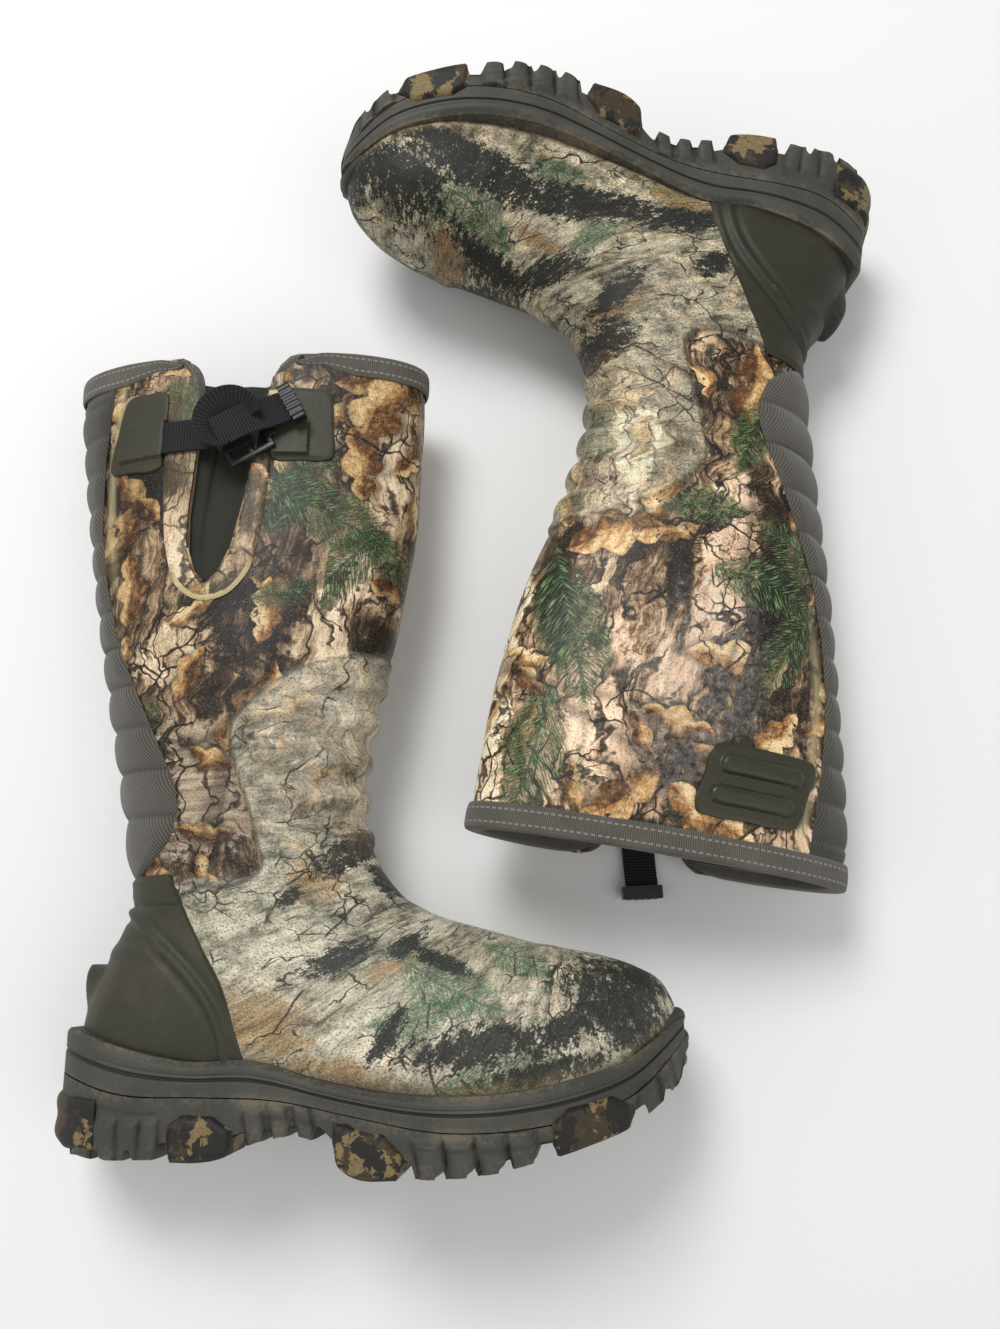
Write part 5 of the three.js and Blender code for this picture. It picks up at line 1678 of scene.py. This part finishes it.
def outsole(side):
    extra = [c + d for low, high in RUBBER_LUGS for c, d in ((low, -1.8), (low, 0.2), (high, -0.2), (high, 1.8))]
    x = sole_x(X_HEEL + 0.05, X_TOE - 0.05, extra)
    down = np.maximum(tread(x), 0.42 * rib_zone(x))
    base, ground = base_height(x), line_at(GROUND, x)
    bottom = base + (ground - base) * down
    top = line_at(FOOT, x) - 2.9
    bottom = np.minimum(bottom, top - 1.5)
    bottom = top - (top - bottom) * rounded_end(x, 8.0, 0.5)

    def channel(xi, z, low):
        """A zigzag groove along the middle parts each cleat in two."""
        centre = 5 * math.sin(xi / 14)
        groove = (1 - ease(np.abs(z - centre), 3.0, 5.0)) * (1 - ease(xi, 304, 311))
        edge = ease(np.abs(z), 30, 60) * 1.5
        return low + (np.interp(xi, x, base) - low) * groove + edge

    obj = loft_along(f"{side}_outsole_tread", side, x, bottom, top, 0.0, side_ribs, across=25, up=24,
                     channel=channel)
    join(obj, *bumper(side))
    give(obj, side, "dust", lambda p: np.maximum(bump(p[:, 1], line_at(FOOT, p[:, 0]) - 4, 4.5),
                                                 0.6 * ease(base_height(p[:, 0]) + 2 - p[:, 1], 0, 4)))
    give(obj, side, "groove", rib_shadow)
    return obj


def foxing(side):
    x = sole_x(X_HEEL + 3.05, X_TOE - 3.05)
    low, high = line_at(FOOT, x) - 2.9, line_at(WELT, x)
    high = low + (high - low) * rounded_end(x, 11.0, 0.45)

    def wall(xi, y):
        a, b = line_at(FOOT, np.array([xi]))[0] - 2.9, line_at(WELT, np.array([xi]))[0]
        t = (y - a) / (b - a)
        return 2.9 - 1.5 * bump(t, 0.50, 0.07) - 0.6 * bump(t, 0.62, 0.05) - 2.6 * ease(t, 0.72, 1.0) ** 2

    obj = loft_along(f"{side}_foxing_band", side, x, low, high, 3.0, wall, across=9, up=26)
    give(obj, side, "dust", lambda p: np.maximum(bump(p[:, 1], welt_height(p[:, 0]), 4),
                                                 0.5 * bump(p[:, 1], line_at(FOOT, p[:, 0]) - 2, 3)))

    # Painted shade along the groove round the middle of the foxing.
    def groove(p):
        a, b = line_at(FOOT, p[:, 0]) - 2.9, line_at(WELT, p[:, 0])
        return bump((p[:, 1] - a) / (b - a), 0.50, 0.08)

    give(obj, side, "groove", groove)
    return obj


def printed_lug(side, name):
    low, high = PRINTED[name]
    x = np.unique(np.concatenate([np.linspace(low - 1.5, high + 1.5, 34), [low - 1.4, low, high, high + 1.4]]))
    down = ease(x, low - 1.5, low + 1.5) * (1 - ease(x, high - 1.5, high + 1.5))
    base, ground = base_height(x), line_at(GROUND, x)
    bottom = base - 0.6 + (ground - base + 0.6) * down
    rise = np.interp(x, [low - 1.5, low + 6, high - 9, high + 1.5], [9.0, 14.5, 13.0, 3.0])

    def wall(xi, y):
        out = 2.6 * ease(xi, low - 1.5, low + 2) * (1 - ease(xi, high - 2, high + 1.5))
        return out * (1 - 0.75 * ease(y, line_at(GROUND, np.array([xi]))[0] + 9,
                                      line_at(GROUND, np.array([xi]))[0] + 14))

    def channel(xi, z, under):
        groove = 1 - ease(np.abs(z - 5 * math.sin(xi / 14)), 2.6, 4.4)
        return under + (np.interp(xi, x, base) - 0.6 - under) * groove * 0.9

    # It is a sleeve round the edge of the sole: only its rim stands above the base.
    obj = loft_along(f"{side}_{name}_print", side, x, bottom, base - 0.3, 0.0, wall, across=25, up=8,
                     channel=channel)
    rims = [obj]
    s = np.linspace(0, 1, 9)
    for sign, edge in zip((1, -1), plan_sides(x)):
        grid = np.zeros((len(x), 9, 3))
        grid[..., 0] = x[:, None]
        grid[..., 1] = bottom[:, None] + (base - 0.4 + rise - bottom)[:, None] * s
        bulge = 2.7 * np.clip((1 - s) / 0.12, 0, 1) ** 0.6 * (1 - 0.5 * np.clip((0.12 - s) / 0.12, 0, 1))
        grid[..., 2] = edge[:, None] + sign * (0.25 + bulge[None] * down[:, None])
        back = grid.copy()
        back[..., 2] = edge[:, None] - sign * 0.5
        ring = np.concatenate([grid, back[:, ::-1], grid[:, :1]], axis=1)
        ring = capped(ring)
        rims.append(sheet("rim", side, ring, closed=(True, True), solid=True, smooth=60))
    return join(*rims)


def heel_lug(side):
    """The printed block that wraps the back of the heel."""
    t = np.linspace(-0.98, 0.98, 41)
    around = np.interp(t, [-1, 0, 1], [-0.33, 0, 0.33])
    rows = np.array([(PLAN_OUT if k >= 0 else PLAN_IN)[int(round(abs(k) * 200))] for k in around])
    way = np.gradient(rows, axis=0)
    out = np.stack([-np.abs(way[:, 1]), np.sign(rows[:, 1] + 1e-9) * np.abs(way[:, 0])], axis=1)
    out /= np.linalg.norm(out, axis=1, keepdims=True) + 1e-9
    s = np.linspace(0, 1, 15)
    low = np.interp(rows[:, 0], [-4, 10], [15, 9])
    high = np.interp(rows[:, 0], [-4, 10], [36, 33])
    fade = np.clip((1 - np.abs(t)) / 0.12, 0, 1) ** 0.5
    grid = np.zeros((41, 15, 3))
    swell = (0.5 + 1.6 * np.sqrt(np.clip(1 - (2 * s - 1) ** 4, 0, 1)) + 0.5 * np.sin(s * 9.4))
    by = swell[None] * fade[:, None]
    grid[..., 0] = rows[:, None, 0] + out[:, None, 0] * by
    grid[..., 2] = rows[:, None, 1] + out[:, None, 1] * by
    grid[..., 1] = low[:, None] + (high - low)[:, None] * s
    back = grid.copy()
    back[..., 0] = rows[:, None, 0] - out[:, None, 0] * 0.6
    back[..., 2] = rows[:, None, 1] - out[:, None, 1] * 0.6
    ring = np.concatenate([grid, back[:, ::-1], grid[:, :1]], axis=1)
    ring = capped(ring)
    return sheet(f"{side}_lug_heel_back_print", side, ring, closed=(True, True), solid=True, smooth=60)


print("sole pieces ready")

# %% [markdown]
# ## Putting a boot together
# Each piece rides on the body of the solid that it stands for. Skin, liner, counter and panel cross the
# ankle, so they ride on no body and stay where they are drawn.


def press_flat(obj):
    """Rubber that rests on the floor is pressed flat there."""
    co = corners(obj)
    co[:, 2] = np.maximum(co[:, 2], 0.2 * MM)
    obj.data.vertices.foreach_set("co", co.ravel())
    obj.data.update()


def put(obj, side, body, look, stands_for=()):
    press_flat(obj)
    paint(obj, LOOKS[look])
    if body == "ankle":
        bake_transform(obj)
    else:
        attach(obj, f"{side}_{body}")
    if stands_for:
        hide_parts(*[f"{side}_{n}" for n in stands_for])
    print(obj.name, len(obj.data.polygons), "faces")
    return obj


def make_boot(side, seed):
    printed = f"{side}_print"
    put(skin(side, seed), side, "ankle", printed, ["foot_shell", "shaft_shell"])
    put(liner(side), side, "ankle", "lining",
        ["foot_insulation", "shaft_insulation", "foot_lining", "shaft_lining"])
    rear = put(panel(side), side, "ankle", "twill", ["rear_panel"])
    put(binding(side), side, "shaft", "binding", ["collar_binding"])
    web = put(gusset(side), side, "shaft", "gusset", ["gusset"])
    put(surround(side), side, "shaft", printed, ["gusset_surround"])

    def rear_relief(x, y):
        return raised_box(x, y, (12, 60, 377, 399), 2.6, 0.8) + raised_box(x, y, (12, 60, 374.5, 377), 0.7)

    def front_relief(x, y):
        return raised_box(x, y, (80, 122, 375, 394), 2.6, 0.8) - raised_box(x, y, (104, 130, 369, 373), 0.5)

    def grip_relief(x, y):
        return capsule(x, y, (17, 389.5), (54, 389.5), 5.0, 2.9) + capsule(x, y, (21, 406), (58, 406), 5.0, 2.9)

    put(patch(side, "rear_patch_rubber", REAR_PATCH, relief=rear_relief), side, "shaft", "olive",
        ["rear_patch"])
    put(patch(side, "front_patch_rubber", FRONT_PATCH, relief=front_relief), side, "shaft", "olive",
        ["front_patch"])
    put(patch(side, "grip", GRIP_PATCH, False, grip_relief), side, "shaft", "grip",
        ["grip_patch"])
    put(tape(side, "strap_tape", [(32, 388), (82, 388)], WEBBING_WIDTH, 4.1), side, "shaft",
        "webbing", ["strap"])
    put(tape(side, "front_strap_tape", [(95, 384.5), (112, 384.5)], 17.5, 4.1), side, "shaft",
        "webbing", ["front_strap"])
    lock_body = "buckle" if side == "right" else "shaft"
    put(buckle(side), side, lock_body, "plastic", ["buckle"])
    surplus = join(tail(side), curl(side)) if side == "right" else tail(side)
    put(surplus, side, "tail", "webbing", ["strap_tail"])
    put(stop(side), side, "tail", "plastic", ["end_stop"])
    # The left counter gets the darker copy of the olive rubber: painted shade.
    put(counter(side), side, "ankle", "olive" if side == "right" else "olive_painted_shade",
        ["heel_counter"])
    put(foxing(side), side, "foot", "sole", ["foxing"])
    put(outsole(side), side, "foot", "sole", ["outsole"])
    for name in PRINTED:
        put(printed_lug(side, name), side, "foot", "lugs", [name])
    put(heel_lug(side), side, "foot", "lugs", ["lug_heel_back"])
    for node, look in (("midsole", "foam"), ("shank", "steel"), ("insole_board", "board"), ("footbed", "footbed")):
        paint(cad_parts[f"{side}_{node}"], LOOKS[look])


make_boot("right", 11)
make_boot("left", 23)

# %% [markdown]
# ## Floor, light and camera
# Boots are shown from above on a pale sweep, with large soft lights, so the shadows are short and faint.


# %% Stage
def floor():
    bpy.ops.object.select_all(action="DESELECT")
    bpy.ops.mesh.primitive_plane_add(size=6, location=(0, 0, -0.0005))
    obj = bpy.context.object
    obj.name = "floor"
    look = Look("pale_floor")
    paint(obj, look.finish((0.92, 0.92, 0.915), 0.85))


def area(name, place, size, energy, aim=(0, 0, 0.05)):
    data = bpy.data.lights.new(name, "AREA")
    data.shape = "SQUARE"
    data.size, data.energy = size, energy
    obj = bpy.data.objects.new(name, data)
    bpy.context.collection.objects.link(obj)
    obj.location = place
    obj.rotation_euler = (Vector(aim) - Vector(place)).to_track_quat("-Z", "Y").to_euler()


floor()
area("key", (-0.5, 0.9, 1.7), 0.8, 23)
area("fill", (1.1, -0.9, 1.5), 1.6, 7)
area("low", (-1.2, -0.7, 0.9), 1.0, 2.5)
world = bpy.data.worlds.new("studio")
bpy.context.scene.world = world
world.use_nodes = True
world.node_tree.nodes["Background"].inputs[0].default_value = (1, 1, 1, 1)
world.node_tree.nodes["Background"].inputs[1].default_value = 0.42

# The colours are the materials' own, so the picture shows them without a film-like curve.
bpy.context.scene.view_settings.view_transform = "Standard"

# %% Camera
data = bpy.data.cameras.new("camera")
camera = bpy.data.objects.new("camera", data)
bpy.context.collection.objects.link(camera)
data.sensor_width = 36
data.lens = 1200 * 36 / 1329
data.clip_start = 0.01
ORIGIN = np.array(PLACES["right"][3])
eye = Vector(((225.7 + ORIGIN[0]) * MM, (96.2 + ORIGIN[1]) * MM, 0.713))
aim = Vector(((225.7 + ORIGIN[0]) * MM, (262.7 + ORIGIN[1]) * MM, 0.055))
camera.location = eye
camera.rotation_euler = (aim - eye).to_track_quat("-Z", "Y").to_euler()
bpy.context.scene.camera = camera
print("camera at", [round(v, 3) for v in eye])
